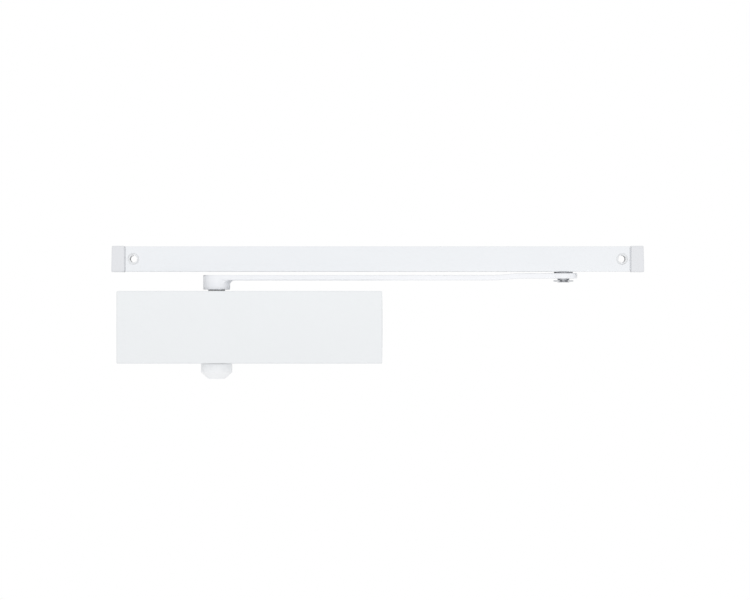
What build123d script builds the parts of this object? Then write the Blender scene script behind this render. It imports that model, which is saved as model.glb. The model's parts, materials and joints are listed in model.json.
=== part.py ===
from build123d import *

import math
import os

# Slide-rail door closer. A body with a rack-and-pinion drive goes on the door, a guide rail
# goes on the frame above it, and an arm with a slider joins the two.
#
# Frame, in millimetres: X runs along the body and the rail, Z is up and -Y points away from
# the door. The plane y = 0 is the mounting plane. The origin is the middle of the body's four
# fixing holes.

# ---------------------------------------------------------------- driving dimensions

# Cover
cover_length = 224.0
cover_height = 61.3
cover_depth = 44.0
cover_wall = 1.8
cover_edge_radius = 1.0
cover_end_bulge = 1.15
cover_rim_gap = 0.5
cover_notch_clearance = 2.85
cover_inner_gap = 0.85

# Housing
pinion_x = -28.0
bore_back_wall = 4.5
end_space = 15.0
front_space = 1.7
housing_corner = 8.0
ear_length = 11.5
ear_height = 44.0
ear_thickness = 4.0
fixing_hole_inset = 6.0
fixing_spacing_z = 19.0
fixing_hole_diameter = 6.5
back_pocket_depth = 1.5
back_pocket_length = 60.0
back_pocket_height = 40.0
back_pocket_x = 45.0

# Bore, piston and rack
bore_diameter = 33.0
running_clearance = 0.05
pinion_teeth = 12
gear_module = 1.5
pressure_angle = 25.0
dedendum_factor = 1.25
gear_backlash = 0.24
gear_width = 22.0
swing_degrees = 155.0
window_end_gap = 1.0
window_back_gap = 0.8
piston_head_left = 16.2
piston_head_right = 14.0
seal_width = 3.0
seal_depth = 2.2
seal_side_gap = 0.2
seal_edge_share = 0.25

# Check valve in the piston
check_ball_diameter = 6.0
check_seat_diameter = 4.0
check_pocket_diameter = 9.0
check_pocket_depth = 10.0
check_cage_length = 4.0
check_cage_hole = 3.0

# Pinion shaft and its bearings
shaft_diameter = 16.0
shaft_relief = 0.4
neck_diameter = 14.3
square_size = 10.0
square_clearance = 0.05
square_length_bottom = 9.0
bearing_diameter = 28.0
bearing_height = 8.0
bearing_floor = 0.5
bearing_bore_clearance = 0.03
gear_passage_clearance = 0.5
nut_proud = 0.5
seal_ring_diameter = 22.0
seal_ring_height = 3.0
nut_pin_hole_diameter = 2.4
nut_pin_hole_depth = 1.6

# End plugs and spring
plug_length = 13.0
plug_seal_position = 6.5
plug_pin_hole_diameter = 4.0
plug_pin_hole_depth = 5.0
plug_pin_hole_spacing = 20.0
spring_wire_diameter = 4.4
spring_radial_gap = 1.7
spring_turns = 10.0
spring_end_gap = 0.05
spring_seat_thickness = 4.0
spring_seat_gap = 1.0
spring_seat_edge_gap = 1.0
power_screw_diameter = 8.0
power_screw_length = 30.0
power_screw_proud = 1.5
power_screw_chamfer = 1.0
power_screw_hex = 4.0
power_screw_hex_depth = 5.0
power_seal_thickness = 1.8
power_seal_width = 2.4

# Valve screws in the left end
valve_diameter = 7.0
valve_length = 13.5
valve_proud = 1.5
valve_bore_wall = 2.0
valve_slot_width = 1.2
valve_slot_depth = 1.5
valve_tip_diameter = 2.6
valve_tip_length = 3.0
valve_seal_position = 6.0
valve_seal_width = 2.0
valve_seal_depth = 1.2
channel_diameter = 3.0
channel_wall = 3.0

# Cover clips
clip_thickness = 1.0
clip_width = 6.8
clip_height = 26.0
clip_touch_gap = 0.2
clip_bump_radius = 1.4
clip_bump_drop = 4.0
clip_screw_diameter = 4.0
clip_screw_head_diameter = 6.6
clip_screw_head_height = 2.2
clip_screw_tip_gap = 0.8
clip_screw_slot_width = 1.0
clip_screw_slot_depth = 1.0

# Arm
arm_length = 293.4
hub_diameter = 22.8
hub_height = 12.3
hub_gap = 1.15
hub_edge_radius = 0.7
bar_thickness = 4.5
bar_width_hub = 21.6
bar_width_end = 18.0
bar_root_radius = 4.0
arm_end_radius = 11.7
joggle_rise = 1.5
joggle_start = 62.0
joggle_end = 33.0
arm_edge_radius = 0.6
arm_web = 2.4
arm_screw_diameter = 6.0
arm_screw_head_diameter = 10.0
arm_screw_head_height = 3.2
arm_screw_head_drop = 0.2
arm_screw_length = 15.0
arm_screw_head_clearance = 0.5
arm_screw_hex = 4.0
arm_screw_hex_depth = 2.0

# Cap on the lower end of the shaft
shaft_cap_diameter = 26.5
shaft_cap_height = 12.8
shaft_cap_gap = 0.3
shaft_cap_chamfer_radial = 6.3
shaft_cap_chamfer_height = 5.6
shaft_cap_wall = 1.7
shaft_cap_socket_clearance = 0.1
shaft_cap_tube_wall = 1.6
shaft_cap_groove_depth = 6.0

# Guide rail
rail_length = 426.0
rail_centre_x = 108.3
rail_height = 21.4
rail_depth = 30.0
rail_wall = 2.0
rail_corner_radius = 1.0
rail_bottom_gap = 1.4
rail_slot_width = 11.0
rail_channel_width = 14.0
rail_hole_inset = 6.5
rail_hole_diameter = 6.0
rail_access_diameter = 9.6
rail_block_length = 12.5
rail_block_inset = 0.3
rail_block_clearance = 0.2
rail_block_seat_depth = 0.8

# Rail end caps
rail_cap_length = 11.0
rail_cap_seam = 1.2
rail_cap_seam_inset = 0.8
rail_cap_proud = 0.4
rail_cap_back_gap = 0.2
rail_cap_edge_radius = 0.8
rail_cap_spigot_length = 10.0
rail_cap_spigot_clearance = 0.2
rail_cap_spigot_wall = 1.6

# Slider
slider_length = 28.0
slider_height = 12.0
slider_side_clearance = 0.3
slider_lift = 0.2
slider_end_chamfer = 1.5
pin_diameter = 10.0
pin_stem_diameter = 8.0
pin_clearance = 0.05
pin_head_diameter = 11.0
pin_head_height = 2.0
pin_head_clearance = 0.2
collar_diameter = 16.0
collar_gap = 0.15
collar_rail_gap = 0.2
clip_ring_diameter = 17.0
clip_ring_thickness = 1.2
clip_ring_neck_diameter = 7.8
clip_ring_neck_clearance = 0.1
clip_ring_play = 1.4
clip_ring_mouth = 6.4
clip_ring_groove_play = 0.1
clip_ring_eye_radius = 2.0
clip_ring_eye_depth = 1.6
pin_tip_length = 0.5
pin_tip_chamfer = 0.3

cut_margin = 1.0

# ---------------------------------------------------------------- derived places

cover_half = cover_length / 2
cover_half_height = cover_height / 2
housing_half = cover_half - end_space
housing_half_height = cover_half_height - cover_wall - cover_inner_gap
housing_depth = cover_rim_gap + cover_depth - cover_wall - front_space
cover_front_y = -(cover_rim_gap + cover_depth)
bore_radius = bore_diameter / 2
axis_depth = bore_radius + bore_back_wall
axis_y = -axis_depth
valve_offset_z = bore_radius + valve_bore_wall + valve_diameter / 2
fixing_spacing_x = 2 * (housing_half + ear_length - fixing_hole_inset)

pitch_radius = gear_module * pinion_teeth / 2
gear_radius = pitch_radius + gear_module
root_radius = pitch_radius - dedendum_factor * gear_module
piston_travel = math.radians(swing_degrees) * pitch_radius
window_right = pinion_x + gear_radius + window_end_gap
window_left = pinion_x - piston_travel - gear_radius - window_end_gap
piston_left = window_left - piston_head_left
piston_right = window_right + piston_head_right
piston_radius = bore_radius - running_clearance

bearing_floor_z = bore_radius + bearing_floor
bearing_top_z = bearing_floor_z + bearing_height
nut_pin_hole_radius = (seal_ring_diameter + bearing_diameter) / 4
nut_top_z = housing_half_height + nut_proud
shaft_shoulder_z = bearing_top_z + seal_ring_height + seal_side_gap
hub_bottom_z = cover_half_height + hub_gap
hub_top_z = hub_bottom_z + hub_height
screw_seat_z = hub_top_z - arm_screw_head_height - arm_screw_head_drop
square_top_z = screw_seat_z - arm_web

plug_inner_x = housing_half - plug_length
seat_right = plug_inner_x - spring_seat_gap
seat_left = seat_right - spring_seat_thickness
power_screw_tip = housing_half + power_screw_proud - power_screw_length

slider_x = pinion_x + arm_length
arm_end_top_z = hub_top_z + joggle_rise
arm_end_bottom_z = arm_end_top_z - bar_thickness
rail_bottom_z = arm_end_top_z + rail_bottom_gap
rail_top_z = rail_bottom_z + rail_height
rail_middle_z = rail_bottom_z + rail_height / 2
rail_left = rail_centre_x - rail_length / 2
rail_right = rail_centre_x + rail_length / 2
channel_y = axis_y
channel_front = channel_y - rail_channel_width / 2
channel_back = channel_y + rail_channel_width / 2
rail_front_wall = rail_depth + channel_front
channel_floor_z = rail_bottom_z + rail_wall
channel_roof_z = rail_top_z - rail_wall

valve_places = {
    "closing_speed_valve": (axis_y, valve_offset_z),
    "latching_speed_valve": (axis_y, -valve_offset_z),
    "backcheck_valve": (housing_corner - housing_depth, housing_half_height - housing_corner),
}

os.makedirs("parts", exist_ok=True)


# ---------------------------------------------------------------- shared helpers


def save(builder, name):
    """Label a finished piece and write it to its own STEP file."""
    builder.part.label = name
    export_step(builder.part, f"parts/{name}.step")


def involute(base, radius, turn, mirror_it):
    """Point of a circle's involute at a radius, turned by an angle about the circle's centre."""
    roll = math.sqrt(max((radius / base) ** 2 - 1, 0))
    angle = roll - math.atan(roll)
    if mirror_it:
        angle = -angle
    return (radius * math.cos(angle + turn), radius * math.sin(angle + turn))


def ring(centre_x, centre_y, z_low, z_high, inner, outer):
    """Plain ring about a vertical axis."""
    with BuildPart() as made:
        with BuildSketch(Plane.XY.offset(z_low)):
            with Locations((centre_x, centre_y)):
                Circle(outer)
                Circle(inner, mode=Mode.SUBTRACT)
        extrude(amount=z_high - z_low)
    return made


def seal_ring(x_low, width, inner, outer, y, z):
    """Ring of square section about an axis along X."""
    with BuildPart() as made:
        with BuildSketch(Plane.YZ.offset(x_low)):
            with Locations((y, z)):
                Circle(outer)
                Circle(inner, mode=Mode.SUBTRACT)
        extrude(amount=width)
        fillet(made.edges(), width * seal_edge_share)
    return made


# ---------------------------------------------------------------- housing

valve_bore_radius = valve_diameter / 2 + running_clearance
valve_bore_end = -housing_half + valve_length - valve_proud + valve_tip_length
channel_end = pinion_x - bearing_diameter / 2 - channel_wall

with BuildPart() as housing:
    with BuildSketch(Plane.YZ.offset(-housing_half)):
        with BuildLine():
            Polyline(
                (0, -housing_half_height),
                (0, housing_half_height),
                (-housing_depth, housing_half_height),
                (-housing_depth, -housing_half_height),
                close=True,
            )
        make_face()
        fillet(vertices().group_by(Axis.X)[0], housing_corner)
    extrude(amount=2 * housing_half)
    with BuildSketch(Plane.XZ):
        RectangleRounded(2 * (housing_half + ear_length), ear_height, housing_corner / 2)
    extrude(amount=ear_thickness)
    with BuildSketch(Plane.YZ.offset(-housing_half - cut_margin)):
        with Locations((axis_y, 0)):
            Circle(bore_radius)
    extrude(amount=2 * (housing_half + cut_margin), mode=Mode.SUBTRACT)
    with BuildSketch(Plane.XY.offset(-housing_half_height - cut_margin)):
        with Locations((pinion_x, axis_y)):
            Circle(gear_radius + gear_passage_clearance)
    extrude(amount=2 * (housing_half_height + cut_margin), mode=Mode.SUBTRACT)
    for low, high in (
        (bearing_floor_z, housing_half_height + cut_margin),
        (-housing_half_height - cut_margin, -bearing_floor_z),
    ):
        with BuildSketch(Plane.XY.offset(low)):
            with Locations((pinion_x, axis_y)):
                Circle(bearing_diameter / 2)
        extrude(amount=high - low, mode=Mode.SUBTRACT)
    for y, z in valve_places.values():
        with BuildSketch(Plane.YZ.offset(-housing_half)):
            with Locations((y, z)):
                Circle(valve_bore_radius)
        extrude(amount=valve_length - valve_proud + running_clearance, mode=Mode.SUBTRACT)
        with BuildSketch(Plane.YZ.offset(-housing_half)):
            with Locations((y, z)):
                Circle(channel_diameter / 2)
        extrude(amount=channel_end + housing_half, mode=Mode.SUBTRACT)
    with BuildSketch(Plane.XY.offset(-valve_offset_z)):
        with Locations((channel_end - channel_diameter, axis_y)):
            Circle(channel_diameter / 2)
    extrude(amount=2 * valve_offset_z, mode=Mode.SUBTRACT)
    with BuildSketch(Plane.XZ):
        with GridLocations(fixing_spacing_x, fixing_spacing_z, 2, 2):
            Circle(fixing_hole_diameter / 2)
        with GridLocations(fixing_spacing_x, 0, 2, 1):
            Circle(clip_screw_diameter / 2)
    extrude(amount=ear_thickness, mode=Mode.SUBTRACT)
    with BuildSketch(Plane.XZ):
        with Locations((back_pocket_x, 0), (-back_pocket_x, 0)):
            RectangleRounded(back_pocket_length, back_pocket_height, housing_corner / 2)
    extrude(amount=back_pocket_depth, mode=Mode.SUBTRACT)
save(housing, "housing")

# ---------------------------------------------------------------- cover

notch_radius = neck_diameter / 2 + cover_notch_clearance

with BuildPart() as cover:
    with BuildSketch(Plane.XZ.offset(cover_rim_gap)):
        with BuildLine():
            Line((-cover_half, cover_half_height), (cover_half, cover_half_height))
            ThreePointArc(
                (cover_half, cover_half_height),
                (cover_half + cover_end_bulge, 0),
                (cover_half, -cover_half_height),
            )
            Line((cover_half, -cover_half_height), (-cover_half, -cover_half_height))
            ThreePointArc(
                (-cover_half, -cover_half_height),
                (-cover_half - cover_end_bulge, 0),
                (-cover_half, cover_half_height),
            )
        make_face()
    extrude(amount=cover_depth)
    with BuildSketch(Plane.XY.offset(-cover_height)):
        with BuildLine():
            back_y = -cover_rim_gap
            middle_y = back_y - cover_depth / 2
            Line((-cover_half, back_y), (cover_half, back_y))
            ThreePointArc(
                (cover_half, back_y),
                (cover_half + cover_end_bulge, middle_y),
                (cover_half, cover_front_y),
            )
            Line((cover_half, cover_front_y), (-cover_half, cover_front_y))
            ThreePointArc(
                (-cover_half, cover_front_y),
                (-cover_half - cover_end_bulge, middle_y),
                (-cover_half, back_y),
            )
        make_face()
    extrude(amount=2 * cover_height, mode=Mode.INTERSECT)
    fillet(cover.faces().sort_by(Axis.Y)[0].edges(), cover_edge_radius)
    with BuildSketch(Plane.XZ.offset(cover_rim_gap)):
        Rectangle(cover_length - 2 * cover_wall, cover_height - 2 * cover_wall)
    extrude(amount=cover_depth - cover_wall, mode=Mode.SUBTRACT)
    with BuildSketch(Plane.XY.offset(-cover_height)):
        with Locations((pinion_x, axis_y)):
            Circle(notch_radius)
        with Locations((pinion_x, axis_y / 2)):
            Rectangle(2 * notch_radius, axis_depth)
    extrude(amount=2 * cover_height, mode=Mode.SUBTRACT)
save(cover, "cover")

# ---------------------------------------------------------------- cover clips

clip_x = fixing_spacing_x / 2
clip_leaf_x = cover_half - cover_wall - clip_touch_gap - clip_bump_radius
clip_foot_x = clip_x - clip_screw_head_diameter / 2

for side, name in ((-1, "cover_clip_left"), (1, "cover_clip_right")):
    with BuildPart() as clip:
        with BuildSketch(Plane.XY.offset(-clip_width / 2)):
            with BuildLine():
                Polyline(
                    (side * clip_foot_x, -ear_thickness),
                    (side * clip_leaf_x, -ear_thickness),
                    (side * clip_leaf_x, -ear_thickness - clip_height),
                    (side * (clip_leaf_x - clip_thickness), -ear_thickness - clip_height),
                    (side * (clip_leaf_x - clip_thickness), -ear_thickness - clip_thickness),
                    (side * clip_foot_x, -ear_thickness - clip_thickness),
                    close=True,
                )
            make_face()
            with Locations((side * clip_leaf_x, -ear_thickness - clip_height + clip_bump_drop)):
                Circle(clip_bump_radius)
        extrude(amount=clip_width)
        with BuildSketch(Plane.XZ.offset(ear_thickness)):
            with Locations((side * clip_x, 0)):
                Circle(clip_screw_diameter / 2 + running_clearance)
        extrude(amount=clip_thickness, mode=Mode.SUBTRACT)
    save(clip, name)

clip_screw_seat = ear_thickness + clip_thickness

with BuildPart() as clip_screws:
    with BuildSketch(Plane.XZ.offset(clip_screw_tip_gap)):
        with GridLocations(fixing_spacing_x, 0, 2, 1):
            Circle(clip_screw_diameter / 2 - running_clearance)
    extrude(amount=clip_screw_seat - clip_screw_tip_gap)
    with BuildSketch(Plane.XZ.offset(clip_screw_seat)):
        with GridLocations(fixing_spacing_x, 0, 2, 1):
            Circle(clip_screw_head_diameter / 2)
    extrude(amount=clip_screw_head_height)
    with BuildSketch(Plane.XZ.offset(clip_screw_seat + clip_screw_head_height)):
        with GridLocations(fixing_spacing_x, 0, 2, 1):
            Rectangle(clip_screw_slot_width, clip_screw_head_diameter)
    extrude(amount=-clip_screw_slot_depth, mode=Mode.SUBTRACT)
save(clip_screws, "clip_screws")

# ---------------------------------------------------------------- pinion shaft

pitch_rad = 2 * math.pi / pinion_teeth
pressure = math.radians(pressure_angle)
base_radius = pitch_radius * math.cos(pressure)
involute_at_pitch = math.tan(pressure) - pressure
tooth_half_angle = pitch_rad / 4 - gear_backlash / 4 / pitch_radius + involute_at_pitch
flank_radii = [base_radius + (gear_radius - base_radius) * step / 4 for step in range(5)]

with BuildPart() as pinion:
    with BuildSketch(Plane.XY.offset(-gear_width / 2)):
        with Locations((pinion_x, axis_y)):
            Circle(root_radius)
        for tooth in range(pinion_teeth):
            middle = (tooth + 0.5) * pitch_rad
            right = [involute(base_radius, r, middle - tooth_half_angle, False) for r in flank_radii]
            left = [involute(base_radius, r, middle + tooth_half_angle, True) for r in flank_radii]
            right = [(pinion_x + x, axis_y + y) for x, y in right]
            left = [(pinion_x + x, axis_y + y) for x, y in left]
            tip = (pinion_x + gear_radius * math.cos(middle), axis_y + gear_radius * math.sin(middle))
            with BuildLine():
                Spline(*right)
                ThreePointArc(right[-1], tip, left[-1])
                Spline(*left)
                Polyline(left[0], (pinion_x, axis_y), right[0])
            make_face()
    extrude(amount=gear_width)
    with BuildSketch(Plane.XY.offset(-shaft_shoulder_z)):
        with Locations((pinion_x, axis_y)):
            Circle(root_radius - shaft_relief)
    extrude(amount=2 * shaft_shoulder_z)
    for sign in (1, -1):
        with BuildSketch(Plane.XY.offset(sign * bearing_floor_z)):
            with Locations((pinion_x, axis_y)):
                Circle(shaft_diameter / 2)
        extrude(amount=sign * (shaft_shoulder_z - bearing_floor_z))
        with BuildSketch(Plane.XY.offset(sign * shaft_shoulder_z)):
            with Locations((pinion_x, axis_y)):
                Circle(neck_diameter / 2)
        extrude(amount=sign * (hub_bottom_z - shaft_shoulder_z))
    with BuildSketch(Plane.XY.offset(hub_bottom_z)):
        with Locations((pinion_x, axis_y)):
            Rectangle(square_size, square_size)
    extrude(amount=square_top_z - hub_bottom_z)
    with BuildSketch(Plane.XY.offset(-hub_bottom_z)):
        with Locations((pinion_x, axis_y)):
            Rectangle(square_size, square_size)
    extrude(amount=-square_length_bottom)
    with BuildSketch(Plane.XY.offset(square_top_z)):
        with Locations((pinion_x, axis_y)):
            Circle(arm_screw_diameter / 2)
    extrude(amount=-(arm_screw_length + cut_margin), mode=Mode.SUBTRACT)
save(pinion, "pinion")

# ---------------------------------------------------------------- bearings, nuts and seals

bearing_outer = bearing_diameter / 2 - bearing_bore_clearance
bearing_inner = shaft_diameter / 2 + bearing_bore_clearance

for sign, place in ((1, "upper"), (-1, "lower")):
    low, high = sorted((sign * bearing_floor_z, sign * bearing_top_z))
    bearing = ring(pinion_x, axis_y, low, high, bearing_inner, bearing_outer)
    save(bearing, f"bearing_{place}")
    low, high = sorted((sign * bearing_top_z, sign * nut_top_z))
    with BuildPart() as nut:
        with BuildSketch(Plane.XY.offset(low)):
            with Locations((pinion_x, axis_y)):
                Circle(bearing_outer)
                Circle(seal_ring_diameter / 2, mode=Mode.SUBTRACT)
        extrude(amount=high - low)
        with BuildSketch(Plane.XY.offset(sign * nut_top_z)):
            with Locations((pinion_x, axis_y)):
                with PolarLocations(nut_pin_hole_radius, 4):
                    Circle(nut_pin_hole_diameter / 2)
        extrude(amount=-sign * nut_pin_hole_depth, mode=Mode.SUBTRACT)
    save(nut, f"bearing_nut_{place}")
    low, high = sorted((sign * bearing_top_z, sign * (bearing_top_z + seal_ring_height)))
    seal = ring(
        pinion_x, axis_y, low, high, bearing_inner, seal_ring_diameter / 2 - bearing_bore_clearance
    )
    save(seal, f"shaft_seal_{place}")

# ---------------------------------------------------------------- piston with its rack

rack_pitch = math.pi * gear_module
rack_line_y = axis_y - pitch_radius
rack_tip_y = rack_line_y + gear_module
rack_root_y = rack_line_y - dedendum_factor * gear_module
half_at_pitch = rack_pitch / 4 - gear_backlash / 4
half_at_tip = half_at_pitch - gear_module * math.tan(pressure)
half_at_root = half_at_pitch + dedendum_factor * gear_module * math.tan(pressure)
first_tooth = math.ceil((window_left + half_at_root - pinion_x) / rack_pitch)
last_tooth = math.floor((window_right - half_at_root - pinion_x) / rack_pitch)
rack_points = []
for tooth in range(first_tooth, last_tooth + 1):
    tooth_x = pinion_x + tooth * rack_pitch
    rack_points += [
        (tooth_x - half_at_root, rack_root_y),
        (tooth_x - half_at_tip, rack_tip_y),
        (tooth_x + half_at_tip, rack_tip_y),
        (tooth_x + half_at_root, rack_root_y),
    ]
window_back_y = axis_y + gear_radius + window_back_gap
seal_groove_x = piston_left + seal_width
check_x = piston_left + check_pocket_depth

with BuildPart() as piston:
    with BuildSketch(Plane.YZ.offset(piston_left)):
        with Locations((axis_y, 0)):
            Circle(piston_radius)
    extrude(amount=piston_right - piston_left)
    with BuildSketch(Plane.XY.offset(-bore_radius)):
        with BuildLine():
            Polyline(
                (window_left, window_back_y),
                (window_left, rack_root_y),
                *rack_points,
                (window_right, rack_root_y),
                (window_right, window_back_y),
                close=True,
            )
        make_face()
    extrude(amount=2 * bore_radius, mode=Mode.SUBTRACT)
    with BuildSketch(Plane.YZ.offset(seal_groove_x)):
        with Locations((axis_y, 0)):
            Circle(bore_radius)
            Circle(piston_radius - seal_depth, mode=Mode.SUBTRACT)
    extrude(amount=seal_width, mode=Mode.SUBTRACT)
    with BuildSketch(Plane.YZ.offset(piston_left)):
        with Locations((axis_y, 0)):
            Circle(check_pocket_diameter / 2)
    extrude(amount=check_pocket_depth, mode=Mode.SUBTRACT)
    with BuildSketch(Plane.YZ.offset(piston_left)):
        with Locations((axis_y, 0)):
            Circle(check_seat_diameter / 2)
    extrude(amount=piston_head_left + cut_margin, mode=Mode.SUBTRACT)
save(piston, "piston")

piston_seal = seal_ring(
    seal_groove_x + seal_side_gap / 2,
    seal_width - seal_side_gap,
    piston_radius - seal_depth + running_clearance,
    piston_radius,
    axis_y,
    0,
)
save(piston_seal, "piston_seal")

ball_radius = check_ball_diameter / 2
ball_seat_offset = math.sqrt(ball_radius**2 - (check_seat_diameter / 2) ** 2) + running_clearance

with BuildPart() as check_ball:
    with Locations((check_x - ball_seat_offset, axis_y, 0)):
        Sphere(ball_radius)
save(check_ball, "check_ball")

with BuildPart() as check_cage:
    with BuildSketch(Plane.YZ.offset(piston_left)):
        with Locations((axis_y, 0)):
            Circle(check_pocket_diameter / 2 - running_clearance)
            Circle(check_cage_hole / 2, mode=Mode.SUBTRACT)
    extrude(amount=check_cage_length)
save(check_cage, "check_cage")

# ---------------------------------------------------------------- end plugs and their seals

plug_radius = bore_radius - running_clearance
plug_seal_inner = plug_radius - seal_depth
power_bore_radius = power_screw_diameter / 2 + running_clearance
power_seal_x = plug_inner_x + plug_seal_position - power_seal_width / 2

for side, name in ((-1, "end_plug_left"), (1, "end_plug_right")):
    outer_x = side * housing_half
    with BuildPart() as plug:
        with BuildSketch(Plane.YZ.offset(outer_x)):
            with Locations((axis_y, 0)):
                Circle(plug_radius)
        extrude(amount=-side * plug_length)
        with BuildSketch(Plane.YZ.offset(side * (plug_inner_x + plug_seal_position - seal_width / 2))):
            with Locations((axis_y, 0)):
                Circle(bore_radius)
                Circle(plug_seal_inner, mode=Mode.SUBTRACT)
        extrude(amount=side * seal_width, mode=Mode.SUBTRACT)
        with BuildSketch(Plane.YZ.offset(outer_x)):
            with Locations((axis_y, 0)):
                with GridLocations(plug_pin_hole_spacing, 0, 2, 1):
                    Circle(plug_pin_hole_diameter / 2)
        extrude(amount=-side * plug_pin_hole_depth, mode=Mode.SUBTRACT)
        if side > 0:
            with BuildSketch(Plane.YZ.offset(outer_x)):
                with Locations((axis_y, 0)):
                    Circle(power_bore_radius)
            extrude(amount=-plug_length, mode=Mode.SUBTRACT)
            with BuildSketch(Plane.YZ.offset(power_seal_x)):
                with Locations((axis_y, 0)):
                    Circle(power_bore_radius + power_seal_thickness)
            extrude(amount=power_seal_width, mode=Mode.SUBTRACT)
    save(plug, name)
    seal_low = plug_inner_x + plug_seal_position - seal_width / 2 + seal_side_gap / 2
    seal_high = seal_low + seal_width - seal_side_gap
    plug_seal = seal_ring(
        min(side * seal_low, side * seal_high),
        seal_width - seal_side_gap,
        plug_seal_inner + running_clearance,
        plug_radius,
        axis_y,
        0,
    )
    save(plug_seal, name.replace("end_plug", "plug_seal"))

power_seal = seal_ring(
    power_seal_x + seal_side_gap / 2,
    power_seal_width - seal_side_gap,
    power_bore_radius,
    power_bore_radius + power_seal_thickness - running_clearance,
    axis_y,
    0,
)
save(power_seal, "power_screw_seal")

# ---------------------------------------------------------------- spring and its adjustment

with BuildPart() as power_screw:
    with BuildSketch(Plane.YZ.offset(power_screw_tip)):
        with Locations((axis_y, 0)):
            Circle(power_screw_diameter / 2)
    extrude(amount=power_screw_length)
    with BuildSketch(Plane.YZ.offset(power_screw_tip + power_screw_length)):
        with Locations((axis_y, 0)):
            RegularPolygon(power_screw_hex / 2, 6, major_radius=False)
    extrude(amount=-power_screw_hex_depth, mode=Mode.SUBTRACT)
    chamfer(power_screw.faces().sort_by(Axis.X)[0].edges(), power_screw_chamfer)
save(power_screw, "power_screw")

with BuildPart() as spring_seat:
    with BuildSketch(Plane.YZ.offset(seat_left)):
        with Locations((axis_y, 0)):
            Circle(bore_radius - spring_seat_edge_gap)
            Circle(power_bore_radius, mode=Mode.SUBTRACT)
    extrude(amount=spring_seat_thickness)
save(spring_seat, "spring_seat")

spring_wire_radius = spring_wire_diameter / 2
spring_radius = bore_radius - spring_radial_gap - spring_wire_radius
spring_left = piston_right + spring_end_gap
spring_right = seat_left - spring_end_gap
spring_path_length = spring_right - spring_left - spring_wire_diameter
spring_pitch = spring_path_length / spring_turns

with BuildPart() as main_spring:
    with BuildLine() as spring_path:
        Helix(
            pitch=spring_pitch,
            height=spring_path_length,
            radius=spring_radius,
            center=(spring_left + spring_wire_radius, axis_y, 0),
            direction=(1, 0, 0),
        )
    with BuildSketch(Plane(origin=spring_path.line @ 0, z_dir=spring_path.line % 0)):
        Circle(spring_wire_radius)
    sweep(is_frenet=True)
save(main_spring, "main_spring")

# ---------------------------------------------------------------- valve screws

valve_head_x = -housing_half - valve_proud
valve_seal_x = -housing_half + valve_seal_position
valve_radius = valve_diameter / 2

for name, (y, z) in valve_places.items():
    with BuildPart() as valve:
        with BuildSketch(Plane.YZ.offset(valve_head_x)):
            with Locations((y, z)):
                Circle(valve_radius)
        extrude(amount=valve_length)
        with BuildSketch(Plane.YZ.offset(valve_head_x + valve_length)):
            with Locations((y, z)):
                Circle(valve_tip_diameter / 2)
        extrude(amount=valve_tip_length)
        with BuildSketch(Plane.YZ.offset(valve_head_x)):
            with Locations((y, z)):
                Rectangle(valve_slot_width, valve_diameter)
        extrude(amount=valve_slot_depth, mode=Mode.SUBTRACT)
        with BuildSketch(Plane.YZ.offset(valve_seal_x)):
            with Locations((y, z)):
                Circle(valve_diameter)
                Circle(valve_radius - valve_seal_depth, mode=Mode.SUBTRACT)
        extrude(amount=valve_seal_width, mode=Mode.SUBTRACT)
    save(valve, name)
    valve_seal = seal_ring(
        valve_seal_x + running_clearance,
        valve_seal_width - 2 * running_clearance,
        valve_radius - valve_seal_depth + running_clearance,
        valve_radius,
        y,
        z,
    )
    save(valve_seal, name.replace("_valve", "_seal"))

# ---------------------------------------------------------------- arm

arm_hole_radius = pin_diameter / 2 + pin_clearance
bar_bottom_z = hub_top_z - bar_thickness

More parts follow.
